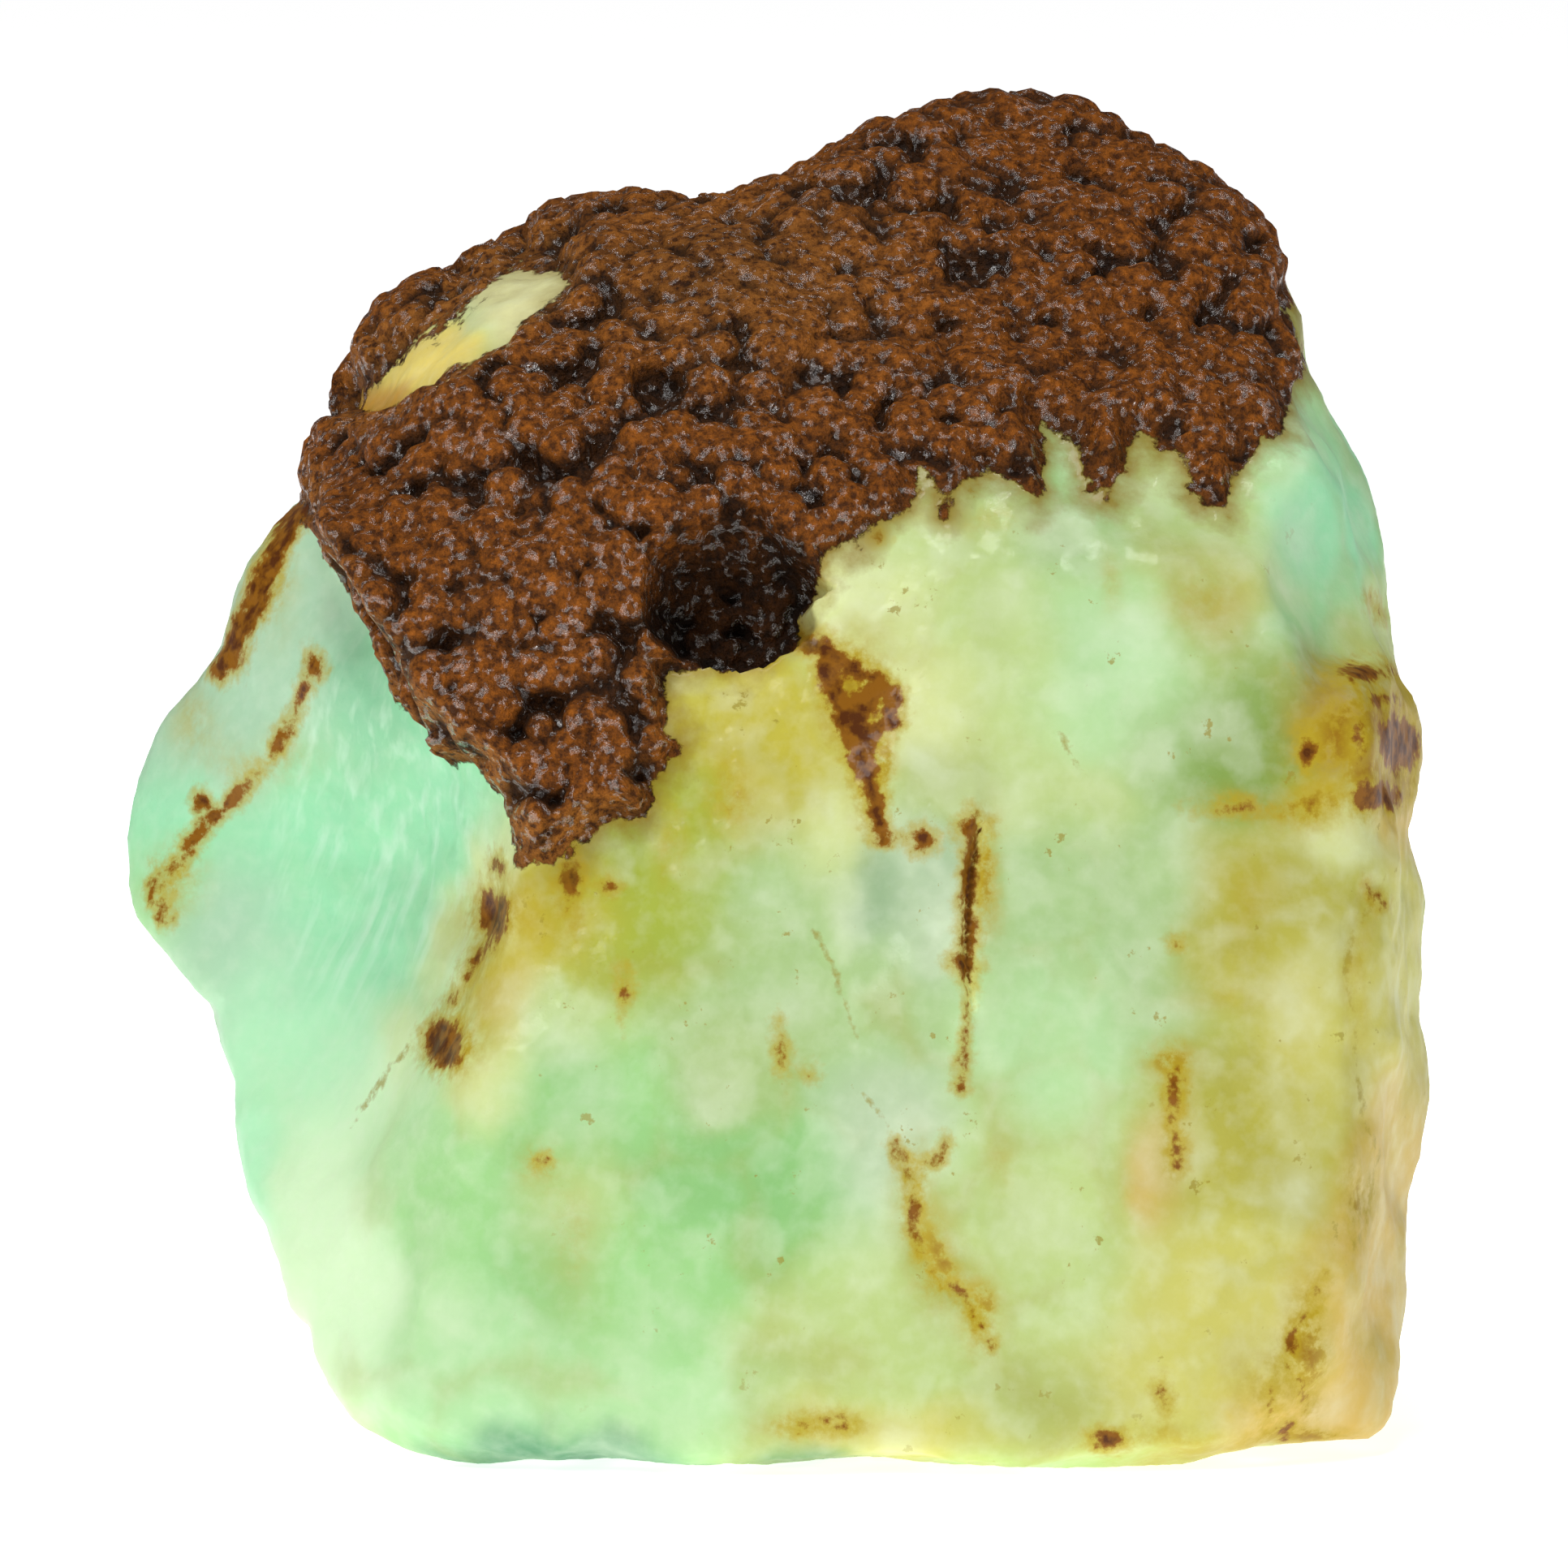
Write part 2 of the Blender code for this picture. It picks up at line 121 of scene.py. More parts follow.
# %% The cuts
OUTLINE_ROUNDING = 0.6
FACES = [
    ("front", (4.0, -12.0, 19.8), 0, 5, 150, 1.5),
    ("front turning right", (21.0, -10.0, 18.0), 16, 2, 250, 2.0),
    ("front turning left", (-15.5, -22.0, 18.9), -18, -3, 90, 2.0),
    ("crust slope", (1.0, 9.0, 17.8), 2, 41, 120, 2.0),
    ("crust slope right", (15.0, 15.5, 16.6), 14, 36, 120, 2.0),
    ("crust slope left", (-12.0, 8.0, 17.0), -26, 30, 90, 2.5),
    ("shoulder by the window", (-15.0, 19.0, 7.0), -34, 50, 60, 2.0),
    ("back", (2.0, -6.0, -20.5), 184, 5, 180, 2.0),
    ("back turning left", (-20.0, -4.0, -14.5), -138, 4, 200, 1.0),
    ("back turning right", (21.0, -8.0, -14.5), 140, -2, 200, 1.0),
    ("back of the top", (6.0, 22.0, -19.0), 176, 24, 120, 1.5),
    ("hollow under the front", (-9.0, -31.2, 17.5), -10, -52, -9, 0.6),
    ("hollow low at the back", (9.0, -13.0, -18.6), 170, -8, -26, 0.6),
    ("hollow high at the back", (-12.0, 3.0, -16.6), -158, 10, -19, 0.6),
    ("hollow low on the right", (27.0, -17.0, -4.0), 96, -6, -13, 0.6),
]
RIGHT_BREAKS = [
    ("right strip", (26.9, -14.0, 15.4), 60, 0, 500, 0.8),
    ("hollow upper right", (24.6, 9.5, 9.6), 54, 12, -16, 0.6),
]
KNOB = ((24.4, 1.2, 9.4), (6.0, 4.2, 7.0))
LEFT_BREAKS = [
    ("left hollow", (-16.8, -4.5, 7.8), -53, 2, -27, 0.8),
    ("left lobe", (-21.4, 3.8, 4.0), -50, 13, 300, 0.6),
]


def facing(turned_right, turned_up):
    """The unit direction that a face looks in, from two angles in degrees."""
    right = math.radians(turned_right)
    up = math.radians(turned_up)
    return np.array([math.sin(right) * math.cos(up), math.sin(up), math.cos(right) * math.cos(up)])


def soft_step(start, end, values):
    """Rises from 0 at start to 1 at end, smoothly."""
    share = np.clip((values - start) / (end - start), 0, 1)
    return share * share * (3 - 2 * share)


def soft_max(first, second, rounding):
    """The larger of two distances, with the edge between them rounded."""
    share = np.clip(0.5 + 0.5 * (first - second) / rounding, 0, 1)
    return second + (first - second) * share + rounding * share * (1 - share)


def distance_to_face(points, face):
    """How far the points stand out of a fracture face, negative inside the stone."""
    place, turned_right, turned_up, bow = face[1:5]
    middle = np.array(place) - bow * facing(turned_right, turned_up)
    return math.copysign(1, bow) * (np.linalg.norm(points - middle, axis=1) - abs(bow))


print("cuts:", len(FACES) + len(RIGHT_BREAKS) + len(LEFT_BREAKS))

# %% [markdown]
# ## Where the crust lies
#
# The crust is 1 to 2 mm of iron oxide over the top. Its lower edge runs across the front in
# ragged teeth, and on the left it stands over the hollow break as an overhang. A signed distance
# to that edge, positive on the crust, drives the relief and the colour alike, so the two can't
# drift apart. A painted mask would need an image.

# %% The crust's edge, its window and its thickness
CRUST_EDGE_FRONT = [
    (-40.0, 14.0), (-21.3, 12.6), (-21.0, 11.2), (-20.5, 9.9), (-19.4, 8.3), (-18.3, 6.3),
    (-17.1, 4.7), (-16.4, 2.9), (-15.2, 1.7), (-14.6, 0.6), (-13.4, 0.4), (-12.6, -0.8),
    (-11.7, -2.2), (-11.2, -4.2), (-9.9, -4.1), (-8.7, -3.2), (-7.2, -2.2), (-5.8, -1.8),
    (-5.5, -0.4), (-4.0, 1.2), (-4.7, 1.9), (-4.9, 2.9), (-4.7, 4.5), (-3.2, 4.7),
    (-1.8, 4.9), (-0.2, 5.6), (0.9, 6.1), (1.2, 7.3), (1.9, 9.3), (2.9, 10.1),
    (4.3, 10.8), (6.0, 12.1), (6.7, 13.4), (7.4, 13.1), (7.8, 11.7), (8.5, 13.1),
    (9.8, 13.8), (10.6, 13.5), (11.5, 12.7), (12.1, 12.3), (12.2, 14.1), (12.2, 15.7),
    (13.3, 15.2), (14.0, 14.1), (14.3, 12.9), (15.2, 12.6), (15.7, 13.1), (16.1, 14.5),
    (16.6, 14.9), (17.7, 14.4), (18.7, 14.1), (19.1, 13.2), (19.6, 12.4), (20.5, 12.1),
    (20.8, 13.2), (22.0, 14.9), (23.2, 15.1), (23.4, 17.0), (24.1, 18.0), (24.3, 18.9),
    (23.6, 20.6), (23.3, 21.9), (23.4, 23.0), (40.0, 24.0),
]
CRUST_EDGE_BACK = [
    (-40.0, 14.0), (-21.0, 12.6), (-18.5, 9.0), (-15.5, 10.0), (-13.0, 6.0), (-9.5, 2.5),
    (-7.0, 5.0), (-3.5, 7.5), (-1.0, 6.0), (1.5, 1.5), (4.0, -1.5), (6.5, 2.0),
    (9.0, 6.5), (12.0, 8.0), (14.0, 5.0), (16.0, 9.5), (19.0, 12.0), (22.0, 18.0),
    (23.4, 23.0), (40.0, 24.0),
]
CRUST_TOP = 45.0
CRUST_RISE = [(-13.0, 2.2), (-4.0, 1.2), (6.0, 0.7)]
CRUST_THIN_FROM = 11.0
THIN_BLEND = 3.0
OUTLINE_CRUST = [(40, 0.0), (50, 1.0), (144, 1.0), (151, 0.0)]
WINDOW = [(-18.3, 16.9), (-16.4, 18.1), (-13.9, 19.5), (-12.0, 21.3), (-10.3, 22.4)]
WINDOW_HALF_WIDTHS = [0.5, 1.0, 1.0, 1.25, 0.9]
EDGE_TURN = (-3.0, 1.0)


def distance_to_path(points, path):
    """The distance in the front view from each point to a path of straight runs."""
    nearest = np.full(len(points), np.inf)
    for start, end in zip(path, path[1:]):
        run = np.subtract(end, start)
        share = np.clip((points[:, :2] - start) @ run / (run @ run), 0, 1)
        off = points[:, :2] - start - share[:, None] * run
        nearest = np.minimum(nearest, np.linalg.norm(off, axis=1))
    return nearest


def above_edge(points, edge):
    """The distance to the crust's edge in the front view, positive on the crust's side."""
    loop = edge + [(edge[-1][0], CRUST_TOP), (edge[0][0], CRUST_TOP), edge[0]]
    crossings = np.zeros(len(points), dtype=int)
    for (u1, v1), (u2, v2) in zip(loop, loop[1:]):
        spans = (v1 > points[:, 1]) != (v2 > points[:, 1])
        rise = v2 - v1 if v2 != v1 else 1.0
        meets = u1 + (points[:, 1] - v1) * (u2 - u1) / rise
        crossings += spans & (points[:, 0] < meets)
    side = np.where(crossings % 2 == 1, 1.0, -1.0)
    return side * distance_to_path(points, edge)


def facing_front(points):
    """1 on the front of the outline's line, 0 behind it."""
    return soft_step(*EDGE_TURN, points[:, 2] - by_angle(OUTLINE_DEPTH, points))


def crust_cover(points):
    """How far inside the crust each point lies, negative on bare stone."""
    front = above_edge(points, CRUST_EDGE_FRONT)
    back = above_edge(points, CRUST_EDGE_BACK)
    is_front = facing_front(points)
    cover = back + (front - back) * is_front
    half_width = np.interp(points[:, 0], [u for u, v in WINDOW], WINDOW_HALF_WIDTHS)
    window = distance_to_path(points, WINDOW) - half_width
    return np.where(is_front > 0.5, np.minimum(cover, window), cover)


def crust_thickness(points):
    """The crust's thickness: thickest low on the left, thin on the right."""
    by_side = np.interp(points[:, 0], *np.array(CRUST_RISE).T)
    usual = CRUST_RISE[1][1]
    thinned = soft_step(CRUST_THIN_FROM - THIN_BLEND, CRUST_THIN_FROM + THIN_BLEND, points[:, 1])
    return by_side + (np.minimum(by_side, usual) - by_side) * thinned


print("teeth and turns in the front edge:", len(CRUST_EDGE_FRONT) - 3)

# %% [markdown]
# ## Finding the surface
#
# The stone is sampled by rays from a point inside it. Halving the interval along each ray finds
# where the distance turns positive. Marching cubes or a remesh would work too, but rays keep the
# points where they are wanted, closest together on the front, and never leave holes.

# %% Distances and rays
HEART = (0.0, -2.0, -6.0)
RAY_REACH = 60.0
HALVINGS = 17
NUDGE = 0.05


def distance_to_outline(points):
    """How far the points stand out of the side walls, whose widest line is the front outline."""
    off_line = points[:, 2] - by_angle(OUTLINE_DEPTH, points)
    detail = np.exp(-((off_line / WALL_DETAIL_REACH) ** 2))
    even = by_angle(EVEN_REACH, points)
    reach = even + (by_angle(SHARP_REACH, points) - even) * detail
    under_crust = by_angle(OUTLINE_CRUST, points) * crust_thickness(points)
    drawn_in = under_crust + off_line**2 / (2 * by_angle(WALL_RADIUS, points))
    return np.hypot(points[:, 0], points[:, 1]) - reach + drawn_in


def distance_to_knob(points):
    """Roughly how far the points stand out of the knob that the right-hand breaks left standing."""
    middle, half_sizes = KNOB
    share = np.linalg.norm((points - middle) / half_sizes, axis=1)
    return (share - 1) * min(half_sizes)


def distance_to_stone(points, left_breaks):
    """How far the points stand out of the stone without its crust, negative inside."""
    far = distance_to_face(points, FACES[0])
    for face in FACES[1:] + left_breaks:
        far = soft_max(far, distance_to_face(points, face), face[5])
    knob = distance_to_knob(points)
    for face in RIGHT_BREAKS:
        taken = -soft_max(-distance_to_face(points, face), -knob, face[5])
        far = soft_max(far, taken, face[5])
    return soft_max(far, distance_to_outline(points), OUTLINE_ROUNDING)


def surface_along(directions, left_breaks):
    """The points where rays from the stone's heart leave it, by halving the interval."""
    near = np.zeros(len(directions))
    far = np.full(len(directions), RAY_REACH)
    for _ in range(HALVINGS):
        middle = (near + far) / 2
        outside = distance_to_stone(HEART + directions * middle[:, None], left_breaks) > 0
        far = np.where(outside, middle, far)
        near = np.where(outside, near, middle)
    return HEART + directions * near[:, None]


def outwards_at(points, left_breaks):
    """The unit direction straight out of the surface at each point."""
    here = distance_to_stone(points, left_breaks)
    slope = np.empty_like(points)
    for axis in range(3):
        moved = points.copy()
        moved[:, axis] += NUDGE
        slope[:, axis] = distance_to_stone(moved, left_breaks) - here
    return slope / np.linalg.norm(slope, axis=1)[:, None]


print("surface found to within, mm:", round(RAY_REACH / 2**HALVINGS, 4))


# %% [markdown]
# ## Relief, coarse and fine
#
# The crust is botryoidal: rounded lumps grown against each other, 3 mm ones carrying 1 mm ones,
# with holes where lumps don't meet. Voronoi cells give exactly that packing, each cell a lump
# that falls off to the seam with its neighbours. The bare stone is calmer: soft swells, shallow
# scallops where small flakes came off, and one step along the crack down the front.

# %% The relief that the solid has too
CRUST_FLANK = (-0.1, 1.5)
OVERHANG = (-0.2, 0.9)
LUMP_SIZE = 3.4
LUMP_HEIGHT = 0.7
SWELL_SIZE = 10.0
SWELL_HEIGHT = 0.8
BARE_SIZE = 9.0
BARE_HEIGHT = 0.6
CALM_RIM = 3.0
FRONT_FROM = (-3.0, 3.0)
PITS = [
    ((-2.0, 8.3), (4.3, 3.4), 4.6),
    ((-5.1, 16.8), (1.3, 1.2), 1.5),
    ((10.1, 24.4), (0.9, 0.8), 0.9),
    ((17.7, 26.6), (1.1, 0.9), 1.0),
]
PIT_RAGGED = 0.3
PIT_RAGGED_SIZE = 3.0
CRACK = [(9.4, -2.4), (8.9, -4.4), (8.7, -8.0), (9.0, -10.8)]
STEP_HEIGHT = 0.9
STEP_REACH = 2.6
STEP_WIDTH = 0.6


def lumps(points, size):
    """Rounded lumps about as wide as size, from 0 between them to 1 on top."""
    return np.array([1 - noise.voronoi(Vector(point))[0][0] for point in points / size])


def waves(points, size):
    """Soft swells about as wide as size, from -1 to 1."""
    return np.array([noise.fractal(Vector(point), 1.0, 2.0, 3) for point in points / size])


def pit_bowls(points):
    """How deep each point lies in the crust's pits, in mm, and how far inside one, from 0 to 1."""
    ragged = PIT_RAGGED * waves(points, PIT_RAGGED_SIZE)
    depth = np.zeros(len(points))
    inside = np.zeros(len(points))
    for middle, half_sizes, deepest in PITS:
        off_middle = np.linalg.norm((points[:, :2] - middle) / half_sizes, axis=1) + ragged
        bowl = np.sqrt(np.clip(1 - off_middle**2, 0, 1))
        depth += deepest * bowl
        inside = np.maximum(inside, bowl)
    is_front = soft_step(*FRONT_FROM, points[:, 2])
    return depth * is_front, inside * is_front


def coarse_relief(points, cover, pit_depth):
    """How far the surface rises above the fracture faces, as on the solid."""
    is_crust = soft_step(*CRUST_FLANK, cover)
    off_line = points[:, 2] - by_angle(OUTLINE_DEPTH, points)
    calm = 1 - np.exp(-((off_line / CALM_RIM) ** 2))
    bumps = LUMP_HEIGHT * (lumps(points, LUMP_SIZE) - 0.5)
    swells = calm * SWELL_HEIGHT * waves(points, SWELL_SIZE)
    rise = is_crust * (crust_thickness(points) + bumps + swells)
    rise = rise + (1 - is_crust) * calm * BARE_HEIGHT * waves(points, BARE_SIZE)
    from_crack = distance_to_path(points, CRACK)
    crack_u = np.interp(points[:, 1], *np.array(CRACK[::-1]).T[::-1])
    left_of_crack = soft_step(-STEP_WIDTH, STEP_WIDTH, crack_u - points[:, 0])
    step = STEP_HEIGHT * np.exp(-from_crack / STEP_REACH) * left_of_crack
    return rise + step * soft_step(*FRONT_FROM, points[:, 2]) - pit_depth


print("pits:", len(PITS))


# %% The relief that only this mesh has
NODULE_SIZE = 1.6
NODULE_HEIGHT = 0.85
GRAIN_SIZE = 0.8
GRAIN_HEIGHT = 0.35
DOME_MEAN = 0.5
HOLE_FROM = (0.42, 0.12)
HOLE_CLUSTER_SIZE = 7.0
HOLE_CLUSTER = (-0.35, 0.25)
HOLE_DEPTH = 0.7
SMOOTH_SADDLE = ((-2.0, 23.0), (8.0, 4.5))
SADDLE_CALM = 0.6
FINE_FLANK = (0.0, 0.8)
SCALLOP_SIZE = 4.6
SCALLOP_DEPTH = 0.5
CHIP_SIZE = 1.8
CHIP_DEPTH = 0.12
CRACK_HALF_WIDTH = 0.25
CRACK_DEPTH = 0.7
FURROWS = [
    [(5.6, -16.6), (5.9, -17.5), (6.3, -18.2), (6.4, -19.3), (6.3, -20.4), (7.3, -22.7), (9.0, -24.0)],
    [(7.9, -16.6), (7.6, -17.4), (6.3, -18.2)],
    [(25.1, -22.8), (24.5, -24.1), (23.6, -25.3), (23.2, -26.7), (23.8, -27.5)],
    [(27.1, -5.1), (26.2, -7.5), (26.0, -9.0), (26.4, -11.2), (26.5, -13.4), (26.8, -15.6)],
    [(1.8, -7.1), (2.9, -9.0), (3.4, -10.8), (4.0, -12.3)],
]
FURROW_HALF_WIDTH = 0.8
FURROW_DEPTH = 0.22
KNUCKLES = [
    ((7.9, -4.9), (1.0, 2.4), 0.45), ((6.6, -9.5), (1.5, 1.8), 0.25), ((5.8, -15.4), (1.3, 1.6), 0.4),
    ((7.6, -14.6), (1.0, 1.3), 0.3), ((9.2, -16.3), (1.0, 1.8), 0.3), ((8.6, -20.0), (1.7, 2.0), 0.3),
    ((2.4, -15.0), (2.0, 1.4), 0.25), ((0.4, -11.0), (1.8, 1.5), 0.25), ((14.6, -8.4), (2.2, 1.6), 0.25),
    ((21.4, -4.0), (2.4, 1.3), 0.35), ((22.8, -20.6), (1.6, 1.3), 0.3), ((18.4, 9.6), (2.2, 1.6), 0.3),
]


def oval(points, middle, half_sizes):
    """1 in the middle of an oval of the front view, falling softly towards 0 outside it."""
    off = (points[:, :2] - middle) / half_sizes
    return np.exp(-(off**2).sum(axis=1))


def fine_relief(points, cover):
    """Small lumps and holes on the crust, scallops, furrows and knuckles on the stone."""
    is_crust = soft_step(*FINE_FLANK, cover)
    is_front = soft_step(*FRONT_FROM, points[:, 2])
    nodules = lumps(points, NODULE_SIZE)
    clusters = soft_step(*HOLE_CLUSTER, waves(points, HOLE_CLUSTER_SIZE))
    domes = 1 - (1 - nodules) ** 2
    grains = 1 - (1 - lumps(points, GRAIN_SIZE)) ** 2
    crust = NODULE_HEIGHT * (domes - DOME_MEAN) + GRAIN_HEIGHT * (grains - DOME_MEAN)
    crust = crust - HOLE_DEPTH * soft_step(*HOLE_FROM, nodules) * clusters
    crust = crust * (1 - SADDLE_CALM * oval(points, *SMOOTH_SADDLE) * is_front)
    bare = -SCALLOP_DEPTH * (lumps(points, SCALLOP_SIZE) - 0.5)
    bare = bare + CHIP_DEPTH * waves(points, CHIP_SIZE)
    groove = CRACK_DEPTH * soft_step(CRACK_HALF_WIDTH, 0, distance_to_path(points, CRACK))
    for furrow in FURROWS:
        groove = groove + FURROW_DEPTH * soft_step(FURROW_HALF_WIDTH, 0, distance_to_path(points, furrow))
    for middle, half_sizes, height in KNUCKLES:
        groove = groove - height * oval(points, middle, half_sizes)
    return is_crust * crust + (1 - is_crust) * (bare - groove * is_front)


print("furrows and knuckles:", len(FURROWS) + len(KNUCKLES))


# %% [markdown]
# ## The mesh
#
# A ball of triangles becomes the stone, point by point. The front half of the ball is split once
# more, because the front is what carries the crust's teeth and the finest lumps. The front view
# is tilted back by 6 degrees onto the flat base, the way the stone stands.

# %% Rays, points and the tilt onto the base
FRONT_TILT = 6.0
BASE_LEVEL = -29.6
MIDDLE = (0.1, -1.26)
BALL_SPLITS = 7
RAY_STRETCH = (1.0, 1.0, 1.3)
FINE_TOWARDS = (0.0, 0.24, 0.97)
FINE_FROM = 0.13
EDGE_RAGGED = 0.5
EDGE_RAGGED_SIZE = 1.6


def stand_up(points):
    """Tilts the front view back onto the base: metres, +X right, +Y away and +Z up."""
    tilt = math.radians(FRONT_TILT)
    u, v, w = points.T
    away = v * math.sin(tilt) - w * math.cos(tilt)
    height = v * math.cos(tilt) + w * math.sin(tilt) - BASE_LEVEL
    return np.column_stack([u - MIDDLE[0], away - MIDDLE[1], np.maximum(height, 0)]) * MM


def ball_of_rays():
    """A closed ball, stretched towards the viewer, with its front half split once more."""
    ball = bmesh.new()
    bmesh.ops.create_icosphere(ball, subdivisions=BALL_SPLITS, radius=1)
    towards = Vector(FINE_TOWARDS)
    front = [face for face in ball.faces if face.calc_center_median().normalized() @ towards > FINE_FROM]
    edges = {edge for face in front for edge in face.edges}
    bmesh.ops.subdivide_edges(ball, edges=list(edges), cuts=1, use_grid_fill=True)
    bmesh.ops.triangulate(ball, faces=ball.faces)
    for vertex in ball.verts:
        vertex.co = (vertex.co.normalized() * Vector(RAY_STRETCH)).normalized()
    return ball


def stone_surface(directions):
    """The finished front-view points along the rays, with the crust cover and pits at each."""
    whole = surface_along(directions, [])
    broken = surface_along(directions, LEFT_BREAKS)
    kept = soft_step(*OVERHANG, crust_cover(whole))[:, None]
    surface = broken + (whole - broken) * kept
    outwards = outwards_at(whole, []) * kept + outwards_at(broken, LEFT_BREAKS) * (1 - kept)
    cover = crust_cover(surface) + EDGE_RAGGED * waves(surface, EDGE_RAGGED_SIZE)
    pit_depth, in_pit = pit_bowls(surface)
    fine = fine_relief(surface, cover)
    rise = coarse_relief(surface, cover, pit_depth) + fine
    return surface + outwards * rise[:, None], cover, in_pit, fine


BALL = ball_of_rays()
DIRECTIONS = np.array([vertex.co for vertex in BALL.verts])
POINTS, COVER, IN_PIT, FINE = stone_surface(DIRECTIONS)
for vertex, place in zip(BALL.verts, stand_up(POINTS)):
    vertex.co = place
STONE_MESH = bpy.data.meshes.new("rough stone")
BALL.to_mesh(STONE_MESH)
BALL.free()
STONE_MESH.shade_smooth()
STONE = bpy.data.objects.new("rough_stone", STONE_MESH)
bpy.context.scene.collection.objects.link(STONE)
print("triangles:", len(STONE_MESH.polygons))
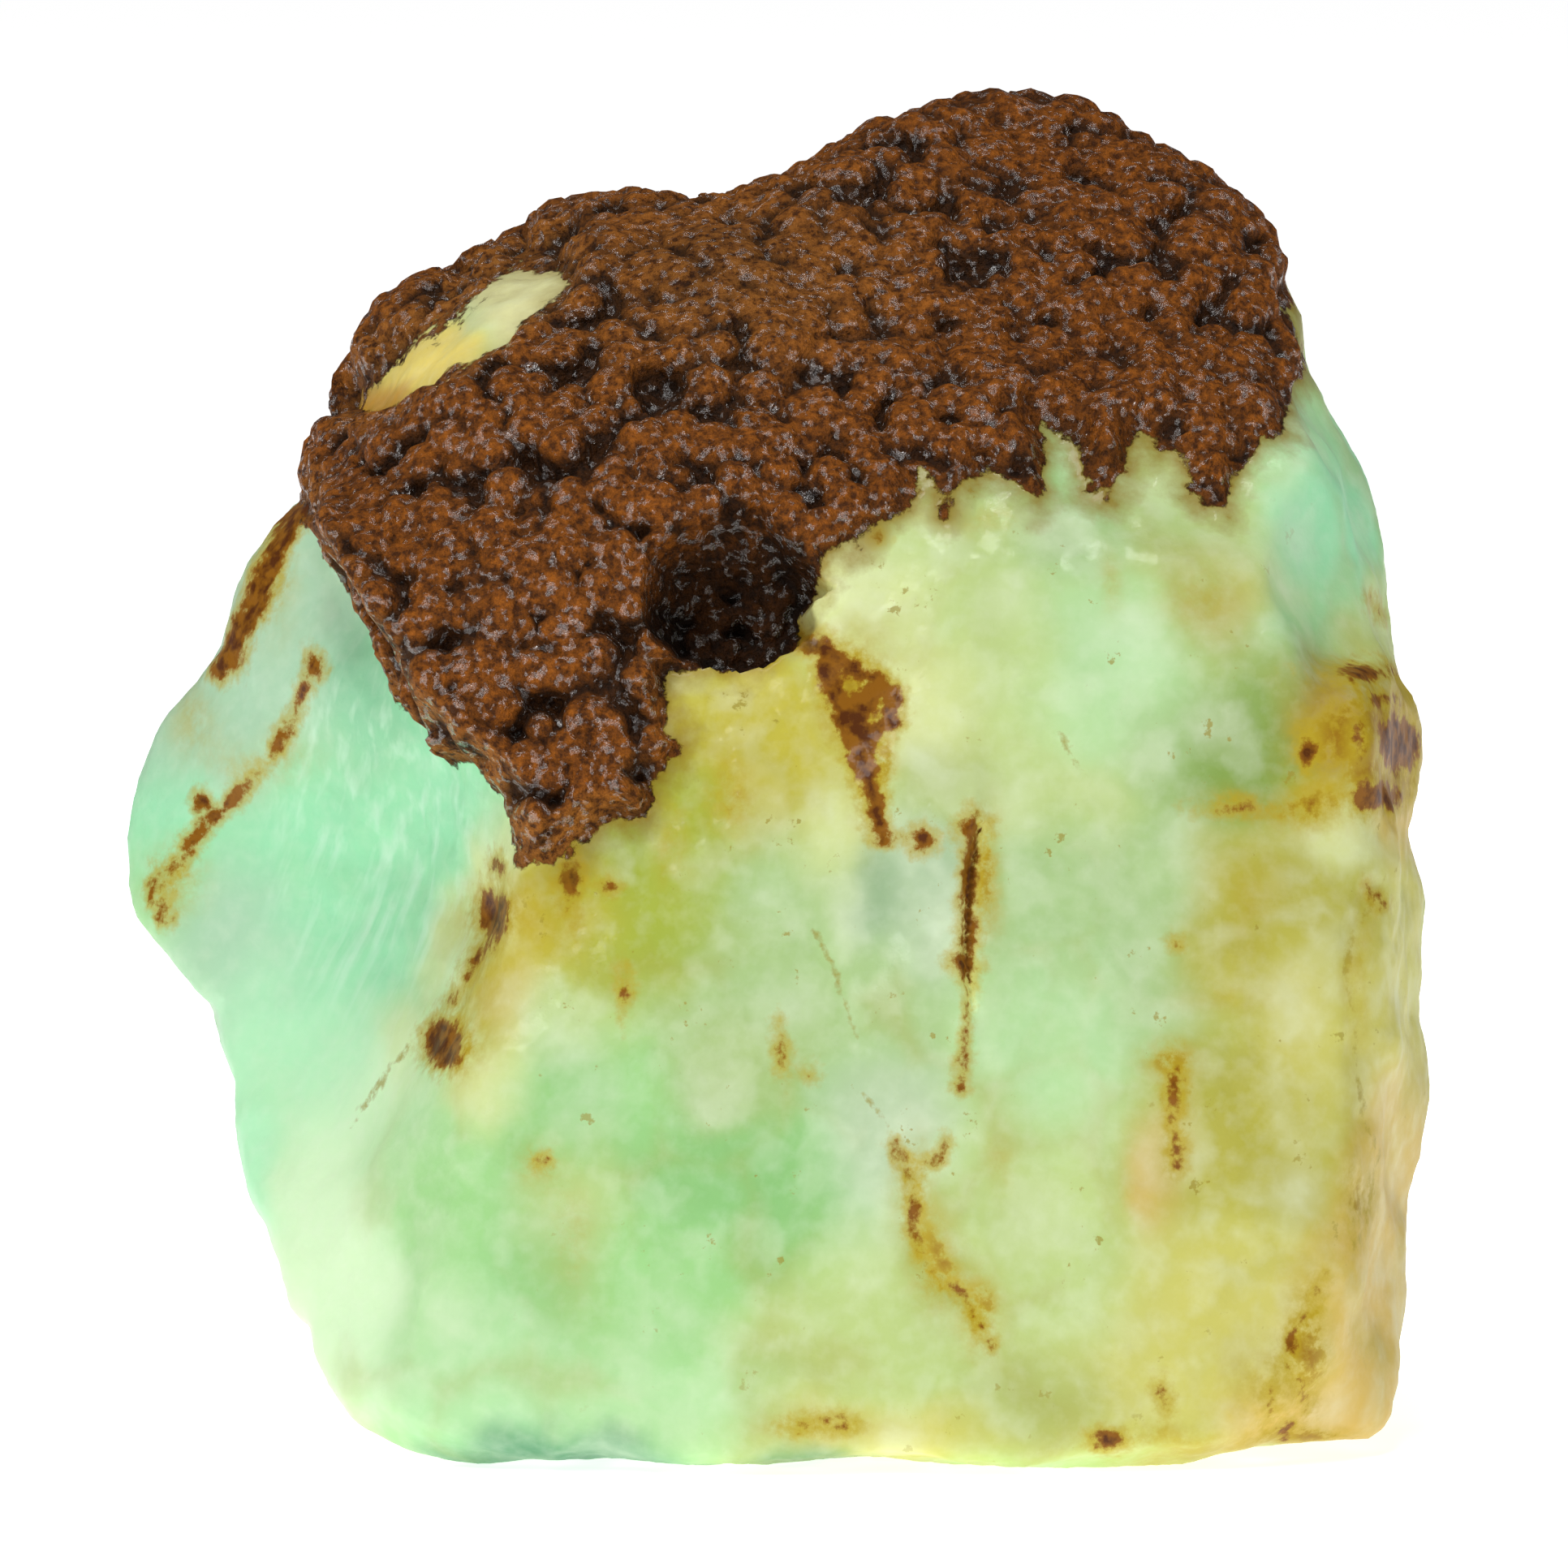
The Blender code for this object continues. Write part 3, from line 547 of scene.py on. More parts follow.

# %% [markdown]
# ## Tints of the stone
#
# Nickel is spread unevenly, so the green comes in clouds that fade into each other, and iron has
# turned the stone beside the crust and along the cracks to yellow and peach. Each cloud is a soft
# spot of a named tint, and a swell bends their edges so that none stays oval.
# Behind the outline the clouds give way to tints drawn by a slow swell alone. Two kinds of cloud
# are painted light: the shade clouds along the bottom edge are painted shade, and the glow clouds
# down the lower left ridge are a painted highlight.

# %% Named tints and where they lie
TINTS = {
    # glow is a painted highlight, laid down the lower left ridge.
    "deep mint": "#88CDA0", "mint": "#9BE6B4", "pale mint": "#B6F2C2", "glow": "#DDFACC", "frost": "#ACD2B2",
    "leaf": "#8BC47A", "fern": "#83A04A", "grass": "#9ED488", "mist": "#B6E0A4", "sage": "#A9C88A",
    "milk": "#BCD0AC", "straw": "#BED186", "lime": "#A3B23E", "yellow": "#C4B842", "olive": "#B3AC42",
    "cream": "#DAE29E", "sand": "#CEC868", "peach": "#D6B45C", "tan": "#A2701E", "lemon": "#FFE67A",
    # shade is painted shade, laid along the bottom edge.
    "amber": "#DE9E30", "grey": "#90AE86", "mustard": "#BFA41C", "shade": "#5C9470", "butter": "#F4F2B4",
    "moss": "#A9B86C",
}
CLOUDS = [
    ("frost", -20.4, 8.8, 2.2, 3.3), ("frost", -23.0, 5.1, 2.2, 3.0), ("frost", -26.0, 1.0, 2.6, 2.2),
    ("mint", -27.3, -1.9, 1.8, 2.2), ("frost", -24.1, -7.9, 2.2, 3.0), ("deep mint", -17.5, 4.0, 2.6, 3.0),
    ("mint", -20.1, -3.4, 3.3, 4.1), ("mint", -14.9, -0.8, 2.0, 3.3), ("mint", -17.9, -8.6, 3.0, 3.3),
    ("pale mint", -21.7, -12.7, 2.6, 3.7), ("pale mint", -23.8, -17.5, 1.1, 2.2),
    ("cream", -12.9, -4.9, 0.7, 2.2),
    # The glow clouds here and below are a painted highlight down the lower left ridge.
    ("cream", -14.6, -8.2, 0.7, 2.2), ("cream", -17.1, -11.9, 0.8, 1.8), ("glow", -19.9, -18.2, 2.2, 4.4),
    ("glow", -20.8, -24.5, 2.4, 3.6), ("yellow", -1.9, 2.5, 3.0, 2.0), ("yellow", 0.6, 0.3, 1.8, 2.4),
    ("cream", 2.4, -3.0, 1.6, 2.0), ("lime", -4.4, -1.9, 2.6, 2.4), ("yellow", -9.7, -6.8, 2.6, 2.0),
    ("yellow", -12.6, -9.7, 1.4, 2.4), ("cream", -12.8, -13.6, 1.6, 1.5), ("lime", -5.8, -7.1, 3.3, 2.6),
    ("sage", -1.4, -10.5, 2.8, 2.6), ("straw", -9.3, -11.6, 2.4, 1.7), ("grass", -7.1, -14.5, 3.3, 1.8),
    ("leaf", -1.9, -17.9, 3.8, 2.4), ("grass", -14.2, -20.1, 2.2, 3.3), ("straw", -9.0, -20.6, 1.6, 3.2),
    ("mist", -16.7, -16.6, 1.8, 1.8), ("mist", -13.6, -26.0, 3.0, 2.6), ("grass", -5.6, -23.8, 2.6, 3.0),
    ("mist", -4.4, -28.6, 3.7, 1.8), ("sage", 0.3, -5.3, 2.2, 2.6), ("milk", 5.2, -15.8, 2.0, 2.4),
    ("milk", 7.3, -5.4, 1.6, 2.8), ("sage", 5.1, -10.5, 2.2, 2.8), ("cream", 4.2, 8.0, 2.2, 2.2),
    ("straw", 8.4, 9.9, 3.0, 1.9), ("sage", 13.6, 10.8, 3.2, 1.7), ("mist", 15.6, 5.4, 3.4, 3.2),
    ("straw", 10.6, 5.8, 2.2, 3.0), ("cream", 6.6, 3.4, 2.0, 2.2), ("straw", 19.4, 8.4, 2.8, 3.6),
    ("fern", 21.3, 1.9, 2.6, 3.0), ("fern", 19.6, -0.6, 2.0, 1.4), ("sage", 17.6, 0.6, 1.8, 1.8),
    ("mint", 24.8, 12.0, 1.8, 3.4),
    ("straw", 27.2, 6.4, 1.3, 1.6), ("mist", 23.6, 15.8, 1.8, 2.2), ("straw", 12.0, -1.0, 3.7, 1.3),
    ("sage", 12.6, -6.3, 3.0, 4.0), ("mist", 13.2, -12.2, 2.8, 3.6), ("straw", 11.2, -21.2, 3.3, 5.0),
    ("sage", 17.4, -7.1, 1.8, 3.4), ("olive", 22.8, -6.3, 3.2, 3.4), ("sand", 24.0, -11.8, 2.2, 3.0),
    ("olive", 21.4, -16.2, 3.4, 3.2), ("peach", 17.7, -18.2, 0.8, 1.5), ("sand", 20.4, -23.8, 3.3, 3.3),
    ("sand", 16.2, -27.8, 3.6, 2.2), ("sand", 28.0, -9.9, 1.4, 4.4), ("peach", 26.4, -24.4, 2.2, 4.0),
    ("peach", 24.8, -29.2, 3.4, 1.2), ("peach", 28.4, -17.4, 1.3, 3.2), ("cream", 24.6, -2.9, 2.0, 1.0),
    ("peach", 28.9, -0.6, 0.9, 2.4), ("tan", 25.6, 2.3, 2.0, 1.9), ("straw", 4.4, -25.8, 3.2, 2.6),
    ("sand", 5.2, -29.7, 4.2, 1.1), ("amber", -18.0, 17.1, 1.1, 0.8), ("lemon", -15.6, 18.7, 1.5, 1.2),
    ("butter", -10.8, 22.1, 2.0, 1.8), ("straw", 24.0, 20.1, 0.9, 1.7), ("grey", 7.6, -4.9, 0.8, 1.8),
    ("mustard", -10.9, -6.6, 1.5, 1.5), ("mustard", -12.8, -9.3, 0.9, 1.6), ("mustard", 19.8, 7.4, 1.6, 1.6),
    ("grey", 4.6, -5.4, 1.3, 1.4), ("mustard", 24.2, -1.2, 1.4, 0.9), ("sage", -2.4, -13.6, 2.2, 1.6),
    # The two shade clouds are painted shade under the stone's bottom edge.
    ("shade", -9.2, -31.0, 3.8, 0.9), ("shade", 1.6, -31.0, 1.6, 0.5), ("leaf", -9.6, -14.4, 2.0, 2.6),
    ("moss", -1.9, -13.4, 2.2, 2.0), ("moss", 7.7, 0.0, 1.4, 1.8), ("moss", 19.5, 7.3, 1.8, 2.0),
    ("moss", 12.9, -28.2, 2.6, 1.6), ("moss", 7.4, -22.2, 1.2, 2.2), ("leaf", -10.1, -22.3, 2.0, 2.4),
    # A painted highlight: the glow cloud on the lower left ridge.
    ("glow", -17.9, -13.4, 1.2, 2.4), ("cream", -12.4, -5.6, 0.8, 2.0), ("cream", -15.4, -9.6, 0.8, 1.6),
]
SLOW_TINTS = ["mint", "mist", "grass", "straw", "cream"]
SLOW_SIZE = 13.0
SLOW_SPREAD = 0.75
SLOW_WEIGHT = 0.04
BEND_SIZE = 5.0
BEND = 1.1
CLOUD_FADE = (-9.0, -2.0)
MILK = "#EDF5DC"
MILK_SIZE = 4.6
MILK_FROM = (0.5, 0.95)
MILK_SHARE = 0.24
SEAM = "#A9A446"
SEAM_FROM = (0.42, 0.1)
SEAM_SHARE = 0.35
WISP = "#EAF5D8"
WISP_SIZE = 2.2
WISP_FROM = (0.0, 0.5)
WISP_SHARE = 0.16
HOLLOW_LEAN = 0.35
HOLLOW_FROM = (-9.0, -13.0)
HOLLOW_CALM = 0.85


def linear(colour):
    """An sRGB hex colour as linear red, green, blue and alpha."""
    parts = [int(colour[place : place + 2], 16) / 255 for place in (1, 3, 5)]
    return [part / 12.92 if part <= 0.04045 else ((part + 0.055) / 1.055) ** 2.4 for part in parts] + [1.0]


def slow_tint(points):
    """A tint that drifts through the green ones with a slow swell."""
    place = np.clip(0.5 + SLOW_SPREAD * waves(points, SLOW_SIZE), 0, 1) * (len(SLOW_TINTS) - 1)
    colours = np.array([linear(TINTS[name]) for name in SLOW_TINTS])
    steps = np.arange(len(SLOW_TINTS))
    return np.column_stack([np.interp(place, steps, channel) for channel in colours.T])


def tint_at(points):
    """The stone's tint at each point, from the clouds and the slow swell."""
    off_line = points[:, 2] - by_angle(OUTLINE_DEPTH, points)
    shown = soft_step(*CLOUD_FADE, off_line)
    weights = np.full(len(points), SLOW_WEIGHT)
    colour = slow_tint(points) * SLOW_WEIGHT
    for name, u, v, half_u, half_v in CLOUDS:
        weight = shown * oval(points, (u, v), (half_u, half_v))
        weights += weight
        colour += weight[:, None] * linear(TINTS[name])
    return colour / weights[:, None]


def towards(colour, tint, share):
    """The colours moved towards one tint, each by its own share."""
    return colour + (np.array(linear(tint)) - colour) * share[:, None]


def cloudy(points, colour):
    """Lays milky cores, olive seams between them and fine pale wisps into the tint."""
    cells = lumps(points, MILK_SIZE)
    in_hollow = soft_step(*HOLLOW_FROM, points[:, 0] - HOLLOW_LEAN * points[:, 1])
    calm = 1 - HOLLOW_CALM * in_hollow
    wisps = soft_step(*WISP_FROM, waves(points, WISP_SIZE))
    colour = towards(colour, MILK, MILK_SHARE * calm * soft_step(*MILK_FROM, cells))
    colour = towards(colour, SEAM, SEAM_SHARE * calm * soft_step(*SEAM_FROM, cells))
    return towards(colour, WISP, WISP_SHARE * calm * wisps)


SWAY = np.column_stack([waves(POINTS, BEND_SIZE), waves(POINTS[:, ::-1], BEND_SIZE), np.zeros(len(POINTS))])
BENT = POINTS + BEND * SWAY
TINT = cloudy(BENT, tint_at(BENT))
print("clouds:", len(CLOUDS), "of", len(TINTS), "tints")

# %% [markdown]
# ## Iron stains and veins
#
# Water carried iron from the crust down every crack. Its marks are colour only, so they are
# distances again, to paths and spots, and the material turns a distance into a ragged edge.
# Brown marks are rust proper and gold ones are hair-thin. Stains are soft ovals, which the same
# noises break up.

# %% Where the marks run
RUST_PATHS = [
    (0.28, [(9.0, -1.9), (9.1, -3.2), (8.9, -4.3), (8.8, -5.6), (8.9, -7.1), (8.8, -8.6)]),
    (0.04, [(8.8, -8.6), (8.9, -9.5), (8.8, -10.8)]),
    (0.02, [(8.8, -10.8), (8.6, -12.7), (8.5, -14.2)]),
    (0.12, [(5.6, -16.6), (5.9, -17.5), (6.3, -18.2)]),
    (0.08, [(7.9, -16.6), (7.6, -17.4), (6.6, -17.9), (6.3, -18.2)]),
    (0.1, [(6.3, -18.2), (6.4, -19.3), (6.3, -20.4)]),
    (0.05, [(6.3, -20.4), (6.8, -21.6), (7.3, -22.7), (8.2, -23.2), (9.0, -24.0), (9.6, -25.3)]),
    (0.05, [(9.6, -25.3), (9.9, -26.0)]),
    (0.4, [(1.0, 6.1), (2.3, 5.7), (3.2, 5.0), (4.6, 4.3), (5.4, 3.4), (5.2, 2.4), (4.3, 1.7)]),
    (0.45, [(2.5, 5.0), (2.6, 4.0), (3.1, 2.8), (3.6, 1.6)]),
    (0.6, [(3.6, 2.8), (4.1, 1.4), (4.3, 0.2)]),
    (0.4, [(3.8, 0.6), (4.4, -0.5), (4.7, -1.6), (5.0, -2.8)]),
    (0.12, [(-12.9, -7.7), (-13.6, -8.6), (-14.0, -9.4), (-14.5, -10.3)]),
    (0.08, [(18.2, -13.8), (18.1, -14.9), (18.2, -16.4), (18.4, -17.9)]),
    (0.06, [(25.1, -22.8), (24.5, -24.1), (23.6, -25.3), (23.2, -26.7), (23.8, -27.5), (24.3, -28.8)]),
    (0.05, [(23.3, -29.5), (23.0, -30.8)]),
    (0.05, [(27.1, -5.1), (27.7, -5.9)]),
    (0.5, [(-21.3, 12.3), (-22.0, 11.4), (-22.7, 10.1), (-23.6, 7.7), (-24.4, 6.2), (-25.2, 4.7)]),
    (0.12, [(-21.3, 4.0), (-21.9, 2.5), (-22.7, 1.2), (-23.4, -0.1), (-24.3, -0.8), (-25.4, -1.9)]),
    (0.22, [(-25.4, -1.9), (-26.5, -3.1), (-26.9, -3.8), (-27.8, -4.7), (-28.4, -5.1)]),
    (0.3, [(-29.3, -3.8), (-28.9, -4.7), (-28.4, -5.6), (-27.8, -6.6)]),
    (0.05, [(27.2, 8.0), (27.7, 7.1)]),
]
GOLD_PATHS = [
    [(-16.6, -12.3), (-17.9, -14.2), (-19.0, -15.8), (-19.3, -16.7)],
    [(17.1, -15.0), (18.1, -14.5), (19.3, -14.3)],
    [(27.8, -4.5), (27.3, -5.5), (26.2, -7.5), (26.0, -9.0), (26.4, -11.2), (26.5, -13.4), (26.8, -15.6)],
    [(26.8, -15.6), (27.5, -17.1), (27.3, -18.2), (26.9, -20.1), (26.5, -21.2), (25.1, -22.8)],
    [(1.8, -7.1), (2.9, -9.0), (3.4, -10.8), (4.0, -12.3)],
    [(4.0, -14.5), (4.9, -15.4), (5.6, -16.6)],
    [(13.0, 1.9), (13.5, 0.8), (14.3, -0.2)],
]
RUST_SPOTS = [
    ((9.0, -2.4), (0.65, 0.5)), ((8.7, -8.6), (0.5, 0.45)), ((6.8, -2.9), (0.6, 0.45)),
    ((-12.7, -6.4), (0.7, 1.0)), ((-15.0, -12.3), (0.9, 1.1)), ((-9.2, -5.1), (0.35, 0.9)),
    ((-7.5, -5.1), (0.2, 0.15)), ((-6.8, -9.9), (0.15, 0.4)), ((-10.4, -17.5), (0.15, 0.12)),
    ((18.2, -14.5), (0.15, 0.5)), ((28.4, 1.3), (0.9, 1.3)), ((27.4, -1.0), (1.1, 0.6)),
    ((27.0, 4.6), (1.2, 0.3)), ((24.2, 1.0), (0.3, 0.5)), ((2.9, -29.3), (0.4, 0.2)),
    ((4.3, 3.4), (0.6, 0.8)), ((26.6, 1.6), (0.3, 0.6)), ((27.6, 3.4), (0.7, 0.3)),
    ((15.3, -30.2), (0.6, 0.35)), ((17.7, -28.2), (0.15, 0.3)), ((1.4, -29.5), (0.3, 0.15)),
    ((22.5, -28.8), (0.1, 0.3)), ((20.9, -1.5), (0.4, 0.12)), ((18.2, -7.7), (0.12, 0.12)),
    ((4.7, 10.8), (0.2, 0.2)), ((0.3, -12.7), (0.12, 0.3)), ((-26.0, -1.2), (0.3, 0.4)),
    ((-20.9, 4.9), (0.2, 0.3)), ((1.7, -13.6), (0.1, 0.1)), ((-12.6, -4.2), (0.2, 0.3)),
]
STAINS = [
    ((3.9, 4.0), (1.7, 2.0), 1.2), ((4.4, 0.4), (0.9, 2.6), 1.2), ((9.7, -4.4), (0.6, 2.4), 0.9),
    ((-11.6, -6.4), (2.4, 1.6), 0.6), ((-14.4, -12.0), (1.3, 1.6), 0.8), ((-13.2, -9.0), (0.8, 2.0), 0.4),
    ((9.2, -24.4), (1.0, 1.8), 1.0), ((7.2, -21.8), (0.9, 1.8), 0.9), ((6.3, -18.4), (0.7, 1.6), 0.8),
    ((-1.9, -0.6), (1.1, 1.8), 0.7), ((-4.4, -2.8), (0.9, 2.2), 0.5), ((-9.0, -4.4), (1.3, 1.2), 0.6),
    ((18.0, -12.9), (1.1, 0.9), 0.9), ((18.3, -16.2), (0.6, 2.2), 0.8), ((24.0, -25.4), (0.9, 2.8), 1.0),
    ((24.4, -30.2), (2.8, 0.6), 0.9), ((17.0, -30.4), (4.0, 0.6), 0.6), ((2.0, -29.6), (2.6, 0.6), 0.7),
    ((27.0, 3.0), (2.2, 2.0), 1.1), ((27.9, 0.6), (1.9, 2.2), 1.3), ((24.4, 1.0), (1.4, 1.6), 0.7),
    ((-10.4, -17.5), (1.0, 1.2), 0.4), ((26.4, -19.4), (0.9, 3.0), 0.8), ((20.8, -1.4), (1.2, 0.5), 0.5),
    ((15.2, 8.6), (0.5, 1.4), 0.35), ((19.4, 7.8), (1.8, 1.8), 0.4), ((-0.8, 5.0), (1.8, 0.6), 0.7),
    ((24.0, -1.6), (2.0, 1.0), 0.6), ((-27.4, -4.7), (1.3, 1.4), 0.7), ((22.4, -27.6), (2.0, 1.6), 0.5),
    ((-9.2, -21.0), (0.9, 2.2), 0.35), ((26.6, -9.0), (0.6, 4.0), 0.5), ((10.2, -17.6), (0.6, 1.2), 0.35),
    ((20.6, -10.0), (2.2, 0.7), 0.3), ((21.8, -6.0), (0.9, 2.2), 0.3), ((-26.4, 2.6), (1.0, 1.6), 0.4),
    ((-22.8, 9.8), (0.9, 2.8), 0.7), ((-23.4, 0.6), (2.2, 1.2), 0.45), ((28.0, -0.8), (1.4, 0.8), 0.8),
    ((7.0, -22.4), (0.8, 1.4), 0.5), ((24.0, -1.6), (1.6, 0.8), 0.5), ((9.0, 11.6), (2.6, 0.7), 0.4),
]
STAIN_LIMIT = 1.3
OUT_OF_REACH = 6.0


def stained_at(points):
    """How strongly iron has stained the stone at each point, from 0 up."""
    stained = np.zeros(len(points))
    for middle, half_sizes, strength in STAINS:
        stained += strength * oval(points, middle, half_sizes)
    return np.clip(stained, 0, STAIN_LIMIT) * facing_front(points)


def distance_to_spots(points, spots):
    """Roughly how far the points lie outside the nearest oval spot."""
    nearest = np.full(len(points), np.inf)
    for middle, half_sizes in spots:
        share = np.linalg.norm((points[:, :2] - middle) / half_sizes, axis=1)
        nearest = np.minimum(nearest, (share - 1) * min(half_sizes))
    return nearest


def behind_the_front(points):
    """A distance that keeps marks off everything behind the outline's line."""
    return OUT_OF_REACH * (1 - facing_front(points))


RUST = distance_to_spots(POINTS, RUST_SPOTS)
for half_width, path in RUST_PATHS:
    RUST = np.minimum(RUST, distance_to_path(POINTS, path) - half_width)
RUST = RUST + behind_the_front(POINTS)
GOLD = np.min([distance_to_path(POINTS, path) for path in GOLD_PATHS], axis=0) + behind_the_front(POINTS)
print("marks:", len(RUST_PATHS) + len(RUST_SPOTS) + len(GOLD_PATHS))

# %% Zones of the surface
ZONE_FADE = (1.0, 0.5)
HACKLE_ZONE = ((-18.0, -3.0), (6.5, 11.0))
OFF_CRUST = (0.2, -0.6)
FRINGE_FROM = (-12.0, -7.0)
FRINGE_ABOVE = (13.5, 15.5)
CLEAN_WINDOW = ((-14.3, 19.6), (6.0, 4.5))
CLEAN_SHARE = 0.8
FRECKLE_ZONE = ((8.0, -8.0), (30.0, 30.0))
FRECKLES_FROM = (-14.0, -10.0)
WORN_EDGE = (1.8, 0.4)
WORN_LEFT_OF = (-4.0, -9.0)


def zone(points, middle, half_sizes):
    """1 in the middle of an oval zone of the front, fading to 0 at its edge."""
    share = np.linalg.norm((points[:, :2] - middle) / half_sizes, axis=1)
    return soft_step(*ZONE_FADE, share) * facing_front(points)


def keep_values(mesh, name, values):
    """Keeps one number for each vertex on the mesh, for the material to read."""
    layer = mesh.attributes.new(name, "FLOAT", "POINT")
    layer.data.foreach_set("value", values.astype(np.float32))


def keep_colour(mesh, name, colours):
    """Keeps one colour for each vertex on the mesh, for the material to read."""
    layer = mesh.attributes.new(name, "FLOAT_COLOR", "POINT")
    layer.data.foreach_set("color", colours.astype(np.float32).ravel())


keep_colour(STONE_MESH, "tint", TINT)
keep_values(STONE_MESH, "crust", COVER)
keep_values(STONE_MESH, "rust", RUST)
keep_values(STONE_MESH, "gold", GOLD)
keep_values(STONE_MESH, "stain", stained_at((POINTS + BENT) / 2))
keep_values(STONE_MESH, "pit", IN_PIT)
keep_values(STONE_MESH, "crest", FINE)
keep_values(STONE_MESH, "hackle", zone(POINTS, *HACKLE_ZONE) * soft_step(*OFF_CRUST, COVER))
FRINGED = np.maximum(soft_step(*FRINGE_FROM, POINTS[:, 0]), soft_step(*FRINGE_ABOVE, POINTS[:, 1]))
FRINGED = FRINGED * (1 - CLEAN_SHARE * oval(POINTS, *CLEAN_WINDOW))
keep_values(STONE_MESH, "fringe", FRINGED)
FRECKLED = zone(POINTS, *FRECKLE_ZONE) * soft_step(*FRECKLES_FROM, POINTS[:, 0])
keep_values(STONE_MESH, "freckles", FRECKLED)
WORN = oval(POINTS, *SMOOTH_SADDLE) * facing_front(POINTS)
WORN = np.maximum(WORN, soft_step(*WORN_EDGE, np.abs(COVER)) * soft_step(*WORN_LEFT_OF, POINTS[:, 0]))
keep_values(STONE_MESH, "worn", WORN)
print("layers on the mesh:", [layer.name for layer in STONE_MESH.attributes][-10:])

# %% [markdown]
# ## The finish
#
# Broken chalcedony is waxy: light goes a few millimetres in and comes out again, so the stone
# glows and its shadows are soft. That is subsurface scattering, at the IOR of quartz. The crust
# is limonite, a rind of iron oxide and clay: opaque, dark brown, and glossy on top of each lump
# where handling polished it, which gives the sparkle. Both are one shader, whose inputs change
# over at the crust's edge, so that the edge can be as ragged as the noise that draws it.

# %% A helper that adds nodes
# Mix nodes are linked by number: 0 is the share, 2 and 3 are the two numbers that it mixes,
# 6 and 7 the two colours, and the mixed colour comes out of output 2.
FINISH = bpy.data.materials.new("waxy chalcedony with a limonite crust")
FINISH.use_nodes = True
NODES = FINISH.node_tree
SHADER = NODES.nodes["Principled BSDF"]


def add(kind, inputs, output=0, **settings):
    """Adds a node with its settings, sets or links its inputs, and returns one of its outputs."""
    made = NODES.nodes.new(kind)
    for name, value in settings.items():
        setattr(made, name, value)
    for socket, value in inputs.items():
        if isinstance(value, bpy.types.NodeSocket):
            NODES.links.new(value, made.inputs[socket])
        else:
            made.inputs[socket].default_value = value
    return made.outputs[output]


# %% [markdown]
# The stone's colour starts from its tint, with a sugary speckle of about a millimetre over it.
# In the hollow on the left, pale hackle lines run steeply down, as they do beside every blow
# that split chalcedony: they are a noise stretched to eleven times its width.

# %% Chalcedony: waxy, cloudy, with hackle lines
SPECKLE_SIZE = 0.8
PALE = linear("#F0F8E4")
HACKLE = linear("#DDF9E2")
HACKLE_SIZE = 0.9
HACKLE_TURN = (0.0, math.radians(26), 0.0)
HACKLE_STRETCH = (1.0, 1.0, 11.0)

places = add("ShaderNodeTexCoord", {}, "Object")
tint = add("ShaderNodeAttribute", {}, "Color", attribute_name="tint")
speckle = add("ShaderNodeTexNoise", {"Vector": places, "Scale": 1 / (SPECKLE_SIZE * MM), "Detail": 3.0})
pale_share = add(
    "ShaderNodeMapRange", {"Value": speckle, "From Min": 0.42, "From Max": 0.8, "To Max": 0.15}
)
stone = add("ShaderNodeMix", {0: pale_share, 6: tint, 7: PALE}, 2, data_type="RGBA")

along = add(
    "ShaderNodeMapping", {"Vector": places, "Rotation": HACKLE_TURN, "Scale": HACKLE_STRETCH},
    vector_type="TEXTURE",
)
streaks = add("ShaderNodeTexNoise", {"Vector": along, "Scale": 1 / (HACKLE_SIZE * MM), "Detail": 3.0})
in_hollow = add("ShaderNodeAttribute", {}, "Fac", attribute_name="hackle")
streaks = add("ShaderNodeMapRange", {"Value": streaks, "From Min": 0.5, "From Max": 0.75, "To Max": 0.5})
hackle_share = add("ShaderNodeMath", {0: streaks, 1: in_hollow}, operation="MULTIPLY")
stone = add("ShaderNodeMix", {0: hackle_share, 6: stone, 7: HACKLE}, 2, data_type="RGBA")
print("nodes so far:", len(NODES.nodes))

# %% [markdown]
# Iron shows in five strengths: freckles, hair-thin olive lines where the stone only began to
# crack, broad amber stains, a glow round every rusty crack, and the brown rust itself. Two
# noises, a fine and a coarse one, make each distance ragged, so that every edge is dotted in its
# own way.

# %% Iron stains
RAGGED_SIZE = 0.55
COARSE_SIZE = 1.7
COARSE_SHARE = 0.9
RUST_RAGGED = 1.1
GOLD_RAGGED = 0.8
OLIVE = linear("#9C8B2C")
AMBER = linear("#B59E22")
RUST_LIGHT = linear("#8C590E")
RUST_DARK = linear("#552A06")

ragged = add(
    "ShaderNodeTexNoise",
    {"Vector": places, "Scale": 1 / (RAGGED_SIZE * MM), "Detail": 4.0, "Roughness": 0.65},
)
coarse = add("ShaderNodeTexNoise", {"Vector": places, "Scale": 1 / (COARSE_SIZE * MM), "Detail": 2.0})
from_rust = add("ShaderNodeAttribute", {}, "Fac", attribute_name="rust")
from_gold = add("ShaderNodeAttribute", {}, "Fac", attribute_name="gold")
stain = add("ShaderNodeAttribute", {}, "Fac", attribute_name="stain")
may_freckle = add("ShaderNodeAttribute", {}, "Fac", attribute_name="freckles")

both = add("ShaderNodeMath", {0: coarse, 1: COARSE_SHARE, 2: ragged}, operation="MULTIPLY_ADD")
rust = add("ShaderNodeMath", {0: both, 1: RUST_RAGGED, 2: from_rust}, operation="MULTIPLY_ADD")
gold = add("ShaderNodeMath", {0: both, 1: GOLD_RAGGED, 2: from_gold}, operation="MULTIPLY_ADD")

